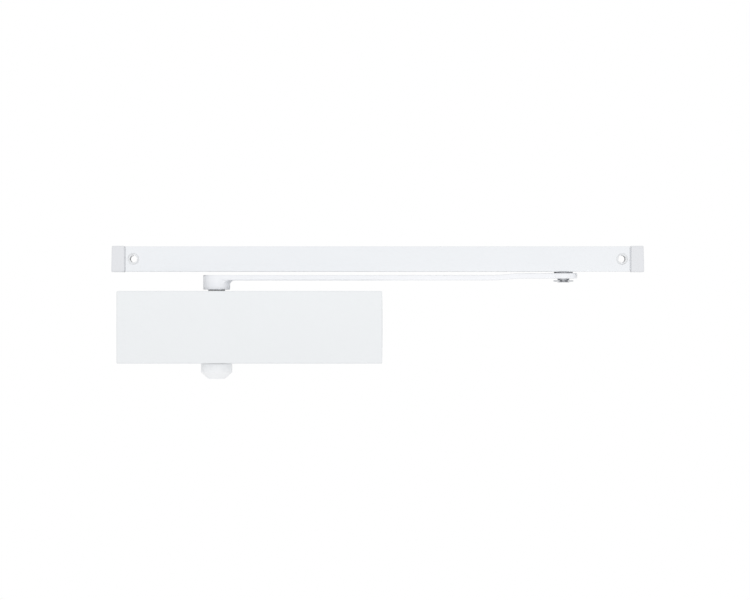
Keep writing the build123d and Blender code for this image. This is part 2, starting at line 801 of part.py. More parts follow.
with BuildPart() as arm:
    with BuildSketch(Plane.XZ):
        with BuildLine():
            Line((pinion_x, hub_top_z), (slider_x - joggle_start, hub_top_z))
            Spline(
                (slider_x - joggle_start, hub_top_z),
                (slider_x - joggle_end, arm_end_top_z),
                tangents=((1, 0), (1, 0)),
            )
            Polyline(
                (slider_x - joggle_end, arm_end_top_z),
                (slider_x + arm_end_radius, arm_end_top_z),
                (slider_x + arm_end_radius, arm_end_bottom_z),
                (slider_x - joggle_end, arm_end_bottom_z),
            )
            Spline(
                (slider_x - joggle_end, arm_end_bottom_z),
                (slider_x - joggle_start, bar_bottom_z),
                tangents=((-1, 0), (-1, 0)),
            )
            Polyline(
                (slider_x - joggle_start, bar_bottom_z),
                (pinion_x, bar_bottom_z),
                (pinion_x, hub_top_z),
            )
        make_face()
    extrude(amount=2 * axis_depth)
    with BuildSketch(Plane.XY):
        with BuildLine():
            Polyline(
                (pinion_x, axis_y - bar_width_hub / 2),
                (slider_x, axis_y - bar_width_end / 2),
                (slider_x, axis_y + bar_width_end / 2),
                (pinion_x, axis_y + bar_width_hub / 2),
                close=True,
            )
        make_face()
        with Locations((slider_x, axis_y)):
            Circle(arm_end_radius)
    extrude(amount=arm_end_top_z + cut_margin, mode=Mode.INTERSECT)
    with BuildSketch(Plane.XZ.offset(axis_depth - bar_width_hub / 2)):
        with BuildLine():
            web_x = pinion_x + hub_diameter / 2
            Line((web_x, bar_bottom_z), (web_x + bar_root_radius, bar_bottom_z))
            RadiusArc(
                (web_x + bar_root_radius, bar_bottom_z),
                (web_x, bar_bottom_z - bar_root_radius),
                -bar_root_radius,
            )
            Polyline(
                (web_x, bar_bottom_z - bar_root_radius),
                (pinion_x, bar_bottom_z - bar_root_radius),
                (pinion_x, bar_bottom_z),
                (web_x, bar_bottom_z),
            )
        make_face()
    extrude(amount=bar_width_hub)
    with BuildSketch(Plane.XY.offset(hub_bottom_z)):
        with Locations((pinion_x, axis_y)):
            Circle(hub_diameter / 2)
    extrude(amount=hub_height)
    fillet(arm.faces().sort_by(Axis.Z)[0].edges(), hub_edge_radius)
    with BuildSketch(Plane.XY.offset(hub_bottom_z)):
        with Locations((pinion_x, axis_y)):
            Rectangle(square_size + 2 * square_clearance, square_size + 2 * square_clearance)
    extrude(amount=square_top_z + square_clearance - hub_bottom_z, mode=Mode.SUBTRACT)
    with BuildSketch(Plane.XY.offset(hub_bottom_z)):
        with Locations((pinion_x, axis_y)):
            Circle(arm_screw_diameter / 2 + running_clearance)
    extrude(amount=hub_height, mode=Mode.SUBTRACT)
    with BuildSketch(Plane.XY.offset(screw_seat_z)):
        with Locations((pinion_x, axis_y)):
            Circle(arm_screw_head_diameter / 2 + arm_screw_head_clearance)
    extrude(amount=hub_height, mode=Mode.SUBTRACT)
    with BuildSketch(Plane.XY.offset(arm_end_bottom_z - cut_margin)):
        with Locations((slider_x, axis_y)):
            Circle(arm_hole_radius)
    extrude(amount=bar_thickness + 2 * cut_margin, mode=Mode.SUBTRACT)
save(arm, "arm")

with BuildPart() as arm_screw:
    with BuildSketch(Plane.XY.offset(screw_seat_z)):
        with Locations((pinion_x, axis_y)):
            Circle(arm_screw_head_diameter / 2)
    extrude(amount=arm_screw_head_height)
    with BuildSketch(Plane.XY.offset(screw_seat_z)):
        with Locations((pinion_x, axis_y)):
            Circle(arm_screw_diameter / 2 - running_clearance)
    extrude(amount=-arm_screw_length)
    with BuildSketch(Plane.XY.offset(screw_seat_z + arm_screw_head_height)):
        with Locations((pinion_x, axis_y)):
            RegularPolygon(arm_screw_hex / 2, 6, major_radius=False)
    extrude(amount=-arm_screw_hex_depth, mode=Mode.SUBTRACT)
save(arm_screw, "arm_screw")

# ---------------------------------------------------------------- lower shaft cap

shaft_cap_top = -cover_half_height - shaft_cap_gap
shaft_cap_bottom = shaft_cap_top - shaft_cap_height
shaft_cap_radius = shaft_cap_diameter / 2
socket_radius = neck_diameter / 2 + shaft_cap_socket_clearance
socket_bottom = -hub_bottom_z - square_length_bottom - shaft_cap_socket_clearance
groove_inner = socket_radius + shaft_cap_tube_wall
groove_outer = shaft_cap_radius - shaft_cap_wall

with BuildPart() as shaft_cap:
    with BuildSketch(Plane.XY.offset(shaft_cap_top)):
        with Locations((pinion_x, axis_y)):
            Circle(shaft_cap_radius)
    extrude(amount=-shaft_cap_height)
    chamfer(
        shaft_cap.edges().sort_by(Axis.Z)[0],
        length=shaft_cap_chamfer_radial,
        length2=shaft_cap_chamfer_height,
        reference=shaft_cap.faces().sort_by(Axis.Z)[0],
    )
    with BuildSketch(Plane.XY.offset(shaft_cap_top)):
        with Locations((pinion_x, axis_y)):
            Circle(socket_radius)
    extrude(amount=socket_bottom - shaft_cap_top, mode=Mode.SUBTRACT)
    with BuildSketch(Plane.XY.offset(shaft_cap_top)):
        with Locations((pinion_x, axis_y)):
            Circle(groove_outer)
            Circle(groove_inner, mode=Mode.SUBTRACT)
    extrude(amount=-shaft_cap_groove_depth, mode=Mode.SUBTRACT)
save(shaft_cap, "shaft_cap")

# ---------------------------------------------------------------- guide rail

rail_hole_xs = (rail_left + rail_hole_inset, rail_right - rail_hole_inset)
rear_chamber_depth = -channel_back - 2 * rail_wall
rear_chamber_y = -rail_wall - rear_chamber_depth / 2
chamber_height = rail_height - 2 * rail_wall

with BuildPart() as rail:
    with BuildSketch(Plane.YZ.offset(rail_left)):
        with Locations((-rail_depth / 2, rail_middle_z)):
            RectangleRounded(rail_depth, rail_height, rail_corner_radius)
        with Locations((channel_y, rail_middle_z)):
            Rectangle(rail_channel_width, chamber_height, mode=Mode.SUBTRACT)
        with Locations((rear_chamber_y, rail_middle_z)):
            Rectangle(rear_chamber_depth, chamber_height, mode=Mode.SUBTRACT)
        with Locations((channel_y, rail_bottom_z + rail_wall / 2)):
            Rectangle(rail_slot_width, rail_wall, mode=Mode.SUBTRACT)
    extrude(amount=rail_length)
    with BuildSketch(Plane.XZ):
        with Locations(*[(x, rail_middle_z) for x in rail_hole_xs]):
            Circle(rail_hole_diameter / 2)
    extrude(amount=rail_depth, mode=Mode.SUBTRACT)
    with BuildSketch(Plane.XZ.offset(rail_depth)):
        with Locations(*[(x, rail_middle_z) for x in rail_hole_xs]):
            Circle(rail_access_diameter / 2)
    extrude(amount=-rail_front_wall, mode=Mode.SUBTRACT)
save(rail, "rail")

block_width = rail_channel_width - 2 * rail_block_clearance
block_height = chamber_height - 2 * rail_block_clearance

for side, hole_x, name in (
    (1, rail_hole_xs[0], "rail_block_left"),
    (-1, rail_hole_xs[1], "rail_block_right"),
):
    end_x = rail_centre_x - side * (rail_length / 2 - rail_block_inset)
    with BuildPart() as block:
        with BuildSketch(Plane.YZ.offset(end_x)):
            with Locations((channel_y, rail_middle_z)):
                Rectangle(block_width, block_height)
        extrude(amount=side * rail_block_length)
        with BuildSketch(Plane.XZ):
            with Locations((hole_x, rail_middle_z)):
                Circle(rail_hole_diameter / 2)
        extrude(amount=rail_depth, mode=Mode.SUBTRACT)
        with BuildSketch(Plane.XZ.offset(rail_depth)):
            with Locations((hole_x, rail_middle_z)):
                Circle(rail_access_diameter / 2)
        extrude(amount=-rail_front_wall - rail_block_seat_depth, mode=Mode.SUBTRACT)
    save(block, name)

# ---------------------------------------------------------------- rail end caps

cap_depth = rail_depth + rail_cap_proud - rail_cap_back_gap
cap_centre_y = -rail_cap_back_gap - cap_depth / 2
seam_depth = rail_depth - 2 * rail_cap_seam_inset
seam_height = rail_height - 2 * rail_cap_seam_inset
spigot_depth = rear_chamber_depth - 2 * rail_cap_spigot_clearance
spigot_height = chamber_height - 2 * rail_cap_spigot_clearance

for side, name in ((-1, "rail_cap_left"), (1, "rail_cap_right")):
    rail_end_x = rail_centre_x + side * rail_length / 2
    with BuildPart() as rail_cap:
        with BuildSketch(Plane.YZ.offset(rail_end_x + side * rail_cap_seam)):
            with Locations((cap_centre_y, rail_middle_z)):
                RectangleRounded(cap_depth, rail_height + 2 * rail_cap_proud, rail_corner_radius)
        extrude(amount=side * rail_cap_length)
        outer_face = rail_cap.faces().sort_by(Axis.X)[-1 if side > 0 else 0]
        fillet(outer_face.edges(), rail_cap_edge_radius)
        with BuildSketch(Plane.YZ.offset(rail_end_x)):
            with Locations((-rail_depth / 2, rail_middle_z)):
                Rectangle(seam_depth, seam_height)
        extrude(amount=side * rail_cap_seam)
        with BuildSketch(Plane.YZ.offset(rail_end_x)):
            with Locations((rear_chamber_y, rail_middle_z)):
                Rectangle(spigot_depth, spigot_height)
                Rectangle(
                    spigot_depth - 2 * rail_cap_spigot_wall,
                    spigot_height - 2 * rail_cap_spigot_wall,
                    mode=Mode.SUBTRACT,
                )
        extrude(amount=-side * rail_cap_spigot_length)
        with BuildSketch(Plane.XZ):
            with Locations((rail_end_x - side * rail_hole_inset, rail_middle_z)):
                Circle(rail_hole_diameter / 2 + rail_cap_spigot_clearance)
        extrude(amount=-channel_back, mode=Mode.SUBTRACT)
    save(rail_cap, name)

# ---------------------------------------------------------------- slider, pin and clip ring

slider_width = rail_channel_width - 2 * slider_side_clearance
tongue_width = rail_slot_width - 2 * slider_side_clearance
slider_bottom_z = channel_floor_z + slider_lift
slider_top_z = slider_bottom_z + slider_height
tongue_bottom_z = rail_bottom_z + slider_lift

with BuildPart() as slider:
    with BuildSketch(Plane.XY.offset(slider_bottom_z)):
        with Locations((slider_x, channel_y)):
            Rectangle(slider_length, slider_width)
    extrude(amount=slider_height)
    chamfer(slider.edges().filter_by(Axis.Z), slider_end_chamfer)
    with BuildSketch(Plane.XY.offset(tongue_bottom_z)):
        with Locations((slider_x, channel_y)):
            RectangleRounded(slider_length, tongue_width, slider_end_chamfer)
    extrude(amount=slider_bottom_z - tongue_bottom_z)
    with BuildSketch(Plane.XY.offset(tongue_bottom_z)):
        with Locations((slider_x, axis_y)):
            Circle(pin_stem_diameter / 2 + pin_clearance)
    extrude(amount=slider_top_z - tongue_bottom_z, mode=Mode.SUBTRACT)
    with BuildSketch(Plane.XY.offset(slider_top_z)):
        with Locations((slider_x, axis_y)):
            Circle(pin_head_diameter / 2 + pin_head_clearance)
    extrude(amount=-pin_head_height, mode=Mode.SUBTRACT)
save(slider, "slider")

collar_bottom_z = arm_end_top_z + collar_gap
collar_top_z = rail_bottom_z - collar_rail_gap
clip_ring_top_z = arm_end_bottom_z - clip_ring_play
clip_ring_bottom_z = clip_ring_top_z - clip_ring_thickness
pin_bottom_z = clip_ring_bottom_z - clip_ring_groove_play - pin_tip_length

with BuildPart() as slider_pin:
    with BuildSketch(Plane.XY.offset(pin_bottom_z)):
        with Locations((slider_x, axis_y)):
            Circle(pin_diameter / 2)
    extrude(amount=collar_bottom_z - pin_bottom_z)
    chamfer(slider_pin.faces().sort_by(Axis.Z)[0].edges(), pin_tip_chamfer)
    with BuildSketch(Plane.XY.offset(clip_ring_bottom_z - clip_ring_groove_play)):
        with Locations((slider_x, axis_y)):
            Circle(pin_diameter)
            Circle(clip_ring_neck_diameter / 2, mode=Mode.SUBTRACT)
    extrude(amount=clip_ring_thickness + 2 * clip_ring_groove_play, mode=Mode.SUBTRACT)
    with BuildSketch(Plane.XY.offset(collar_bottom_z)):
        with Locations((slider_x, axis_y)):
            Circle(collar_diameter / 2)
    extrude(amount=collar_top_z - collar_bottom_z)
    with BuildSketch(Plane.XY.offset(collar_top_z)):
        with Locations((slider_x, axis_y)):
            Circle(pin_stem_diameter / 2)
    extrude(amount=slider_top_z - pin_head_height - collar_top_z)
    with BuildSketch(Plane.XY.offset(slider_top_z - pin_head_height)):
        with Locations((slider_x, axis_y)):
            Circle(pin_head_diameter / 2)
    extrude(amount=pin_head_height)
save(slider_pin, "slider_pin")

with BuildPart() as clip_ring:
    with BuildSketch(Plane.XY.offset(clip_ring_bottom_z)):
        with Locations((slider_x, axis_y)):
            Circle(clip_ring_diameter / 2)
            Circle(clip_ring_neck_diameter / 2 + clip_ring_neck_clearance, mode=Mode.SUBTRACT)
        with Locations((slider_x, axis_y - clip_ring_diameter / 2)):
            Rectangle(clip_ring_mouth, clip_ring_diameter, mode=Mode.SUBTRACT)
        with Locations((slider_x, axis_y)):
            with PolarLocations(clip_ring_diameter / 2 - clip_ring_eye_depth, 2, 0, 180):
                Circle(clip_ring_eye_radius, mode=Mode.SUBTRACT)
    extrude(amount=clip_ring_thickness)
save(clip_ring, "clip_ring")
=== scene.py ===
import json
import math

import bmesh
import bpy
import numpy as np
from bpy.props import FloatProperty, FloatVectorProperty, PointerProperty
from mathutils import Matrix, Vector


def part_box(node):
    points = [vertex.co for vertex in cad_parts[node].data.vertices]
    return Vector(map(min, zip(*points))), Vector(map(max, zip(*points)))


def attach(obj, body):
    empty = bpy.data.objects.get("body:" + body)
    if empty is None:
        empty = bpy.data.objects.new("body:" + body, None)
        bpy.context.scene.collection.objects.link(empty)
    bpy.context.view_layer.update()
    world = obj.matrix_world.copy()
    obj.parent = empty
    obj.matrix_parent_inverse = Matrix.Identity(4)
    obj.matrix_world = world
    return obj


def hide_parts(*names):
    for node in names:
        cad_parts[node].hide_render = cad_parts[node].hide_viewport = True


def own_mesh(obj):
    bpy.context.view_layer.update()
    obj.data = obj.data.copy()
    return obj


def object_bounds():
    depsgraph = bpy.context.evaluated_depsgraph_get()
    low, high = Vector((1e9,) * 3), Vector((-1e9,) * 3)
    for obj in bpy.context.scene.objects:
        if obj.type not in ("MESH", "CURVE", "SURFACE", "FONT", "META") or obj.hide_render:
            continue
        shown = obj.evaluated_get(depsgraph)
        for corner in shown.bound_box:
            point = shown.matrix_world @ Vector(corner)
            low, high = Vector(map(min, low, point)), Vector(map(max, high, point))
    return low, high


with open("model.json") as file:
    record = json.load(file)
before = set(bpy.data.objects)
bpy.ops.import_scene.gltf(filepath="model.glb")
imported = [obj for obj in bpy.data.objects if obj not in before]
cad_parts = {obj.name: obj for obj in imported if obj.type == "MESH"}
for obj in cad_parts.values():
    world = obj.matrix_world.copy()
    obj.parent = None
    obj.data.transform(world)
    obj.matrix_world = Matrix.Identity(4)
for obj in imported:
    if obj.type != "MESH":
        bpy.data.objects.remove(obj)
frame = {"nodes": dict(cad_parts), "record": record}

bl_info = {
    "name": "Slide-rail door closer",
    "version": (1, 0, 0),
    "blender": (4, 5, 0),
    "location": "View3D > Sidebar > Door closer",
    "description": "Builds the visible pieces, finishes and studio of a slide-rail door closer",
    "category": "Add Mesh",
}

MM = 0.001
CAD_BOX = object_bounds()


# ---------------------------------------------------------------- places from the frame


def span(node):
    """Lowest and highest corner of a CAD node, as numpy arrays in metres."""
    low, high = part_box(node)
    return np.array(low), np.array(high)


def middle(node):
    """Centre of a CAD node's box."""
    low, high = span(node)
    return (low + high) / 2


SHAFT = middle("pinion")
PIN = middle("slider_pin")


# ---------------------------------------------------------------- sizes a user may change


def length(name, text, default):
    """A length property in metres."""
    return FloatProperty(name=name, description=text, default=default, subtype="DISTANCE", unit="LENGTH")


def colour(name, text, default):
    """A colour property in scene-linear values."""
    return FloatVectorProperty(
        name=name, description=text, default=default, subtype="COLOR", size=3, min=0.0, max=1.0
    )


class CoverSizes(bpy.types.PropertyGroup):
    wall: length("Wall", "Thickness of the cover's sheet", 1.8 * MM)
    edge: length("Edge radius", "Rounding of the cover's outer edges", 1.1 * MM)
    shoulder: length("Shoulder", "How far each end's corners stand in from the full length", 1.15 * MM)
    bulge: length("End bulge", "How far each end face is crowned at its middle", 0.5 * MM)
    notch: length("Notch radius", "Half the width of the slots for the shaft", 10.0 * MM)
    rib: length("Rib height", "Height of the stiffening ribs inside the front", 1.0 * MM)


class HousingSizes(bpy.types.PropertyGroup):
    corner: length("Corner radius", "Rounding of the housing's long front corners", 8.0 * MM)
    edge: length("Edge radius", "Rounding of the casting's end edges", 0.8 * MM)
    ear: length("Ear thickness", "Thickness of the fixing ears", 4.0 * MM)
    ear_height: length("Ear height", "Height of the fixing ears", 44.0 * MM)
    pocket_x: length("Pocket place", "Distance of each back pocket from the middle", 45.0 * MM)
    pocket_length: length("Pocket length", "Length of each back pocket", 60.0 * MM)
    pocket_height: length("Pocket height", "Height of each back pocket", 40.0 * MM)
    pocket_depth: length("Pocket depth", "Depth of each back pocket", 1.5 * MM)


class SpringSizes(bpy.types.PropertyGroup):
    wire: length("Wire", "Diameter of the spring's wire", 4.4 * MM)
    turns: FloatProperty(name="Turns", description="Number of coils", default=10.5, min=2.0)
    closing: FloatProperty(
        name="Closing", description="How closely the end coils lie", default=0.45, min=0.0, max=0.9
    )


class ArmSizes(bpy.types.PropertyGroup):
    hub: length("Hub radius", "Radius of the arm's hub", 11.4 * MM)
    bar: length("Bar thickness", "Thickness of the arm's bar", 4.5 * MM)
    root_width: length("Width at hub", "Width of the bar where it leaves the hub", 21.6 * MM)
    end_width: length("Width at slider", "Width of the bar before its end boss", 18.0 * MM)
    end_radius: length("End radius", "Radius of the boss around the slider pin", 11.7 * MM)
    edge: length("Edge radius", "Rounding of the bar's edges", 0.9 * MM)
    rise: length("Joggle rise", "Height of the step in the bar", 1.5 * MM)
    rise_start: length("Joggle start", "Distance of the step's start from the slider pin", 62.0 * MM)
    rise_end: length("Joggle end", "Distance of the step's end from the slider pin", 33.0 * MM)
    root_fillet: length("Root fillet", "Fillet under the bar at the hub", 4.0 * MM)


class RailSizes(bpy.types.PropertyGroup):
    wall: length("Wall", "Thickness of the extrusion's walls", 2.0 * MM)
    edge: length("Edge radius", "Rounding of the extrusion's outer edges", 0.6 * MM)
    slot: length("Slot width", "Width of the slot for the slider", 11.0 * MM)
    channel: length("Channel width", "Width of the slider's channel", 14.0 * MM)
    access: length("Access hole radius", "Radius of the holes in the rail's front", 4.8 * MM)
    screw: length("Screw hole radius", "Radius of the holes for the fixing screws", 3.0 * MM)
    inset: length("Hole inset", "Distance of the holes from the extrusion's ends", 6.5 * MM)
    seam: length("Seam width", "Shadow gap between the extrusion and each end cap", 1.2 * MM)
    taper: length("Cap taper", "How much narrower an end cap is at its top", 0.5 * MM)


class Finishes(bpy.types.PropertyGroup):
    cover: colour("Cover paint", "Colour of the cover's powder coat", (0.79, 0.808, 0.823))
    arm: colour("Arm paint", "Colour of the arm's powder coat", (0.848, 0.858, 0.885))
    rail: colour("Rail paint", "Colour of the rail's coat", (0.792, 0.81, 0.835))
    end_plastic: colour("End caps", "Colour of the rail's end caps", (0.715, 0.725, 0.75))
    cap_plastic: colour("Shaft cap", "Colour of the cap under the shaft", (0.89, 0.90, 0.915))
    casting: colour("Casting", "Colour of the die-cast housing", (0.56, 0.57, 0.58))
    steel: colour("Zinc plate", "Colour of the plated steel pieces", (0.60, 0.615, 0.64))
    pin_steel: colour("Pin steel", "Colour of the slider pin", (0.47, 0.48, 0.50))
    shaft: colour("Shaft", "Colour of the pinion shaft's nickel plate", (0.92, 0.93, 0.94))
    block: colour("Rail blocks", "Colour of the blocks behind the rail's holes", (0.90, 0.91, 0.92))
    acetal: colour("Acetal", "Colour of the slider", (0.62, 0.63, 0.64))


class Studio(bpy.types.PropertyGroup):
    distance: length("Camera distance", "From the mounting plane to the camera", 6.0)
    aim_x: length("Aim X", "Where the camera's axis meets the mounting plane", 0.106)
    aim_z: length("Aim Z", "Height of the camera's axis", 0.023)
    view_width: length("View width", "Width seen at the mounting plane", 0.6369)
    floor_drop: length("Floor drop", "From the lowest piece down to the floor", 0.24)
    floor_radius: length("Floor radius", "Radius of the floor", 1.05)
    sky: FloatProperty(name="Sky", description="Strength of the surrounding light", default=0.93, min=0.0)
    key: FloatProperty(name="Key", description="Power of the low front light", default=7.0, min=0.0)
    front: FloatProperty(name="Front", description="Power of the wide front light", default=3.0, min=0.0)
    fill: FloatProperty(name="Fill", description="Power of the high side light", default=1.0, min=0.0)


# ---------------------------------------------------------------- surfaces


def new_piece(name, points, faces):
    """A mesh object at the origin whose points are already in the row's frame."""
    mesh = bpy.data.meshes.new(name)
    mesh.from_pydata(np.asarray(points, float).reshape(-1, 3).tolist(), [], faces)
    piece = bpy.data.objects.new(name, mesh)
    bpy.context.scene.collection.objects.link(piece)
    tidy_mesh(piece)
    return piece


def tidy_mesh(piece, merge=1e-7):
    """Merges doubled points, so that poles and seams close, and turns every face outwards."""
    work = bmesh.new()
    work.from_mesh(piece.data)
    bmesh.ops.remove_doubles(work, verts=work.verts, dist=merge)
    bmesh.ops.dissolve_degenerate(work, edges=work.edges, dist=merge)
    bmesh.ops.recalc_face_normals(work, faces=work.faces)
    work.to_mesh(piece.data)
    work.free()


def bands(count, points):
    """Quads between neighbouring rings. Quad (i, j) joins points j and j + 1 of rings i and i + 1."""
    start = np.arange(count - 1)[:, None] * points
    here = np.arange(points)[None, :]
    there = (here + 1) % points
    corners = (start + here, start + there, start + points + there, start + points + here)
    return np.stack(corners, axis=-1).reshape(-1, 4).tolist()


def loft(name, rings):
    """Closed rings of equal count, joined in order, with one flat face over each end.

    rings is an array (ring, point, 3).
    """
    rings = np.asarray(rings, float)
    count, points = rings.shape[:2]
    ends = [list(range(points))[::-1], list(range((count - 1) * points, count * points))]
    return new_piece(name, rings, bands(count, points) + ends)


def quarter(radius, steps):
    """Pairs round a quarter circle: the radius less its sine part, and less its cosine part."""
    turn = np.linspace(0, math.pi / 2, steps + 1)
    return [(radius * (1 - math.sin(a)), radius * (1 - math.cos(a))) for a in turn]


def rounded(corners, radii, steps=6, closed=True):
    """A path whose corners are tangent arcs.

    An arc of radius r at a corner starts r / tan(half the inner angle) before it. Its points are the
    two directions from the arc's centre, turned into each other in even steps of angle.
    """
    corners = np.asarray(corners, float)
    count = len(corners)
    radii = np.broadcast_to(np.asarray(radii, float), (count,))
    parts = []
    for i, corner in enumerate(corners):
        if (not closed and i in (0, count - 1)) or radii[i] <= 0:
            parts.append(corner[None])
            continue
        back = corners[i - 1] - corner
        ahead = corners[(i + 1) % count] - corner
        back /= np.linalg.norm(back)
        ahead /= np.linalg.norm(ahead)
        half = math.acos(np.clip(back @ ahead, -1, 1)) / 2
        reach = radii[i] / math.tan(half)
        centre = corner + (back + ahead) / np.linalg.norm(back + ahead) * radii[i] / math.sin(half)
        first = corner + back * reach - centre
        last = corner + ahead * reach - centre
        turn = math.pi - 2 * half
        t = np.linspace(0, 1, steps + 1)[:, None]
        parts.append(centre + (np.sin((1 - t) * turn) * first + np.sin(t * turn) * last) / math.sin(turn))
    return np.concatenate(parts)


def soft_box(x0, x1, y0, y1, radius, steps):
    """A rectangle with rounded corners."""
    return rounded([(x0, y0), (x1, y0), (x1, y1), (x0, y1)], radius, steps)


def box_loop(x0, x1, y0, y1, radius, steps=7, across=1, up=1):
    """A rounded rectangle whose straight runs have a set number of parts, so that such loops match."""
    arcs = soft_box(x0, x1, y0, y1, radius, steps).reshape(4, steps + 1, 2)
    parts = []
    for side in range(4):
        parts.append(arcs[side])
        count = across if side % 2 == 0 else up
        share = np.arange(1, count)[:, None] / count
        parts.append(arcs[side][-1] + (arcs[(side + 1) % 4][0] - arcs[side][-1]) * share)
    return np.concatenate(parts)


def along(axis, loop, stations):
    """Rings of a flat loop at each station along an axis. The loop's values are the other two axes'."""
    number = "XYZ".index(axis)
    rings = np.empty((len(stations), len(loop), 3))
    rings[:, :, number] = np.asarray(stations)[:, None]
    rings[:, :, [other for other in range(3) if other != number]] = loop[None]
    return rings


def prism(name, axis, loop, stations):
    """A loop carried straight along an axis, through its stations."""
    return loft(name, along(axis, loop, stations))


def stepped(name, axis, outline, steps):
    """A solid whose outline is drawn in by an inset at each (station, inset) step along an axis."""
    return loft(name, np.concatenate([along(axis, outline(inset), [at]) for at, inset in steps]))


def rod(name, axis, centre, radius, stations, points=48):
    """A round bar along an axis."""
    return prism(name, axis, circle(centre, radius, points), stations)


def circle(centre, radius, points=64):
    """Points of a circle in its own plane."""
    turn = np.arange(points) * 2 * math.pi / points
    return np.stack([centre[0] + radius * np.cos(turn), centre[1] + radius * np.sin(turn)], axis=-1)


def turned(name, profile, centre, axis="Z", points=96):
    """A profile of (radius, place along the axis) points, carried round the axis.

    centre is the axis's place on the other two axes.
    """
    rings = [along(axis, circle(centre, radius, points), [at]) for radius, at in profile]
    return loft(name, np.concatenate(rings))


def strip_solid(name, rings):
    """Closed rings whose points mirror each other across a middle line, closed by strips of quads.

    Point j of a ring lies across from point (count - j), so the end rings are filled with faces that
    join those pairs and follow the ring where it steps up.
    """
    count, points = rings.shape[:2]
    faces = bands(count, points)
    near = np.arange(0, points // 2)
    far = (points - near) % points
    far_next = points - near - 1
    for base in (0, (count - 1) * points):
        quads = np.stack([near, near + 1, far_next, far], axis=-1) + base
        faces += quads.tolist()
    faces = [list(dict.fromkeys(face)) for face in faces]
    return new_piece(name, rings, [face for face in faces if len(face) > 2])


def settle(piece):
    """Applies the piece's modifiers to its mesh."""
    graph = bpy.context.evaluated_depsgraph_get()
    made = bpy.data.meshes.new_from_object(piece.evaluated_get(graph))
    made.name = piece.name
    old = piece.data
    piece.modifiers.clear()
    piece.data = made
    bpy.data.meshes.remove(old)


def combine(piece, others, operation="DIFFERENCE"):
    """Cuts the other solids from the piece, or joins them to it, and removes them."""
    for other in others:
        step = piece.modifiers.new(operation.title(), "BOOLEAN")
        step.operation = operation
        step.solver = "EXACT"
        step.object = other
    settle(piece)
    for other in others:
        bpy.data.objects.remove(other)
    tidy_mesh(piece, 1e-6)


def soften(piece, width, steps, angle):
    """Bevels the sharp edges and keeps the flat faces flat in shading."""
    piece.data.shade_smooth()
    bevel = piece.modifiers.new("Edges", "BEVEL")
    bevel.width = width
    bevel.segments = steps
    bevel.limit_method = "ANGLE"
    bevel.angle_limit = math.radians(angle)
    bevel.harden_normals = True
    bevel.use_clamp_overlap = True
    settle(piece)


def smooth(piece, angle):
    """Smooth shading, with edges sharper than the angle kept crisp."""
    piece.data.shade_smooth()
    piece.data.set_sharp_from_angle(angle=math.radians(angle))
    return piece


def finish_piece(piece, body, slot, node):
    """Gives a piece its material and its body, and hides the CAD node that it stands for."""
    piece.data.materials.clear()
    piece.data.materials.append(paints()[slot])
    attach(piece, body)
    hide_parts(node)


# ---------------------------------------------------------------- material effects


def place(tree, kind, **values):
    """A new shader node. Values name its properties, or its input sockets where they are a dict."""
    node = tree.nodes.new(f"ShaderNode{kind}")
    for key, value in values.items():
        if key == "inputs":
            for name, setting in value.items():
                node.inputs[name].default_value = setting
        else:
            setattr(node, key, value)
    return node


def math_node(tree, operation, first, second=None):
    """A Math node fed by sockets or numbers. Returns its output."""
    node = place(tree, "Math", operation=operation)
    for index, value in enumerate((first, second)):
        if isinstance(value, bpy.types.NodeSocket):
            tree.links.new(value, node.inputs[index])
        elif value is not None:
            node.inputs[index].default_value = value
    return node.outputs[0]


def total(tree, first, *others):
    """The sum of sockets and numbers."""
    for other in others:
        first = math_node(tree, "ADD", first, other)
    return first


def swing(tree, value, amount):
    """How far a noise is from its middle, times an amount."""
    return math_node(tree, "MULTIPLY", math_node(tree, "SUBTRACT", value, 0.5), amount)


def noise(tree, vector, scale, detail=2.0, roughness=0.5):
    """A noise texture on Object coordinates. Scale may be a socket or features per metre."""
    node = place(tree, "TexNoise", inputs={"Detail": detail, "Roughness": roughness})
    tree.links.new(vector, node.inputs["Vector"])
    if isinstance(scale, bpy.types.NodeSocket):
        tree.links.new(scale, node.inputs["Scale"])
    else:
        node.inputs["Scale"].default_value = scale
    return node.outputs["Fac"]


def new_group(name, inputs, outputs):
    """An empty shader node group with its sockets. Returns its tree, input node and output node."""
    tree = bpy.data.node_groups.new(name, "ShaderNodeTree")
    face = tree.interface
    for socket_name, kind, default in inputs:
        made = face.new_socket(name=socket_name, in_out="INPUT", socket_type=f"NodeSocket{kind}")
        made.default_value = default
    for socket_name, kind in outputs:
        face.new_socket(name=socket_name, in_out="OUTPUT", socket_type=f"NodeSocket{kind}")
    return tree, tree.nodes.new("NodeGroupInput"), tree.nodes.new("NodeGroupOutput")


def skin_group(name, inputs):
    """An empty surface effect, from whose inputs come a colour, a roughness and a height."""
    outputs = [("Color", "Color"), ("Roughness", "Float"), ("Height", "Float")]
    tree, enter, leave = new_group(name, [("Base", "Color", (0.7, 0.7, 0.7, 1.0)), *inputs], outputs)
    return tree, enter.outputs, leave, place(tree, "TexCoord").outputs["Object"]


def close_skin(tree, enter, leave, tone, rough, height):
    """Sends out the base colour times a tone, the roughness and the height."""
    shade = place(tree, "VectorMath", operation="SCALE")
    tree.links.new(enter["Base"], shade.inputs[0])
    tree.links.new(tone, shade.inputs["Scale"])
    tree.links.new(shade.outputs["Vector"], leave.inputs["Color"])
    tree.links.new(rough, leave.inputs["Roughness"])
    tree.links.new(height, leave.inputs["Height"])


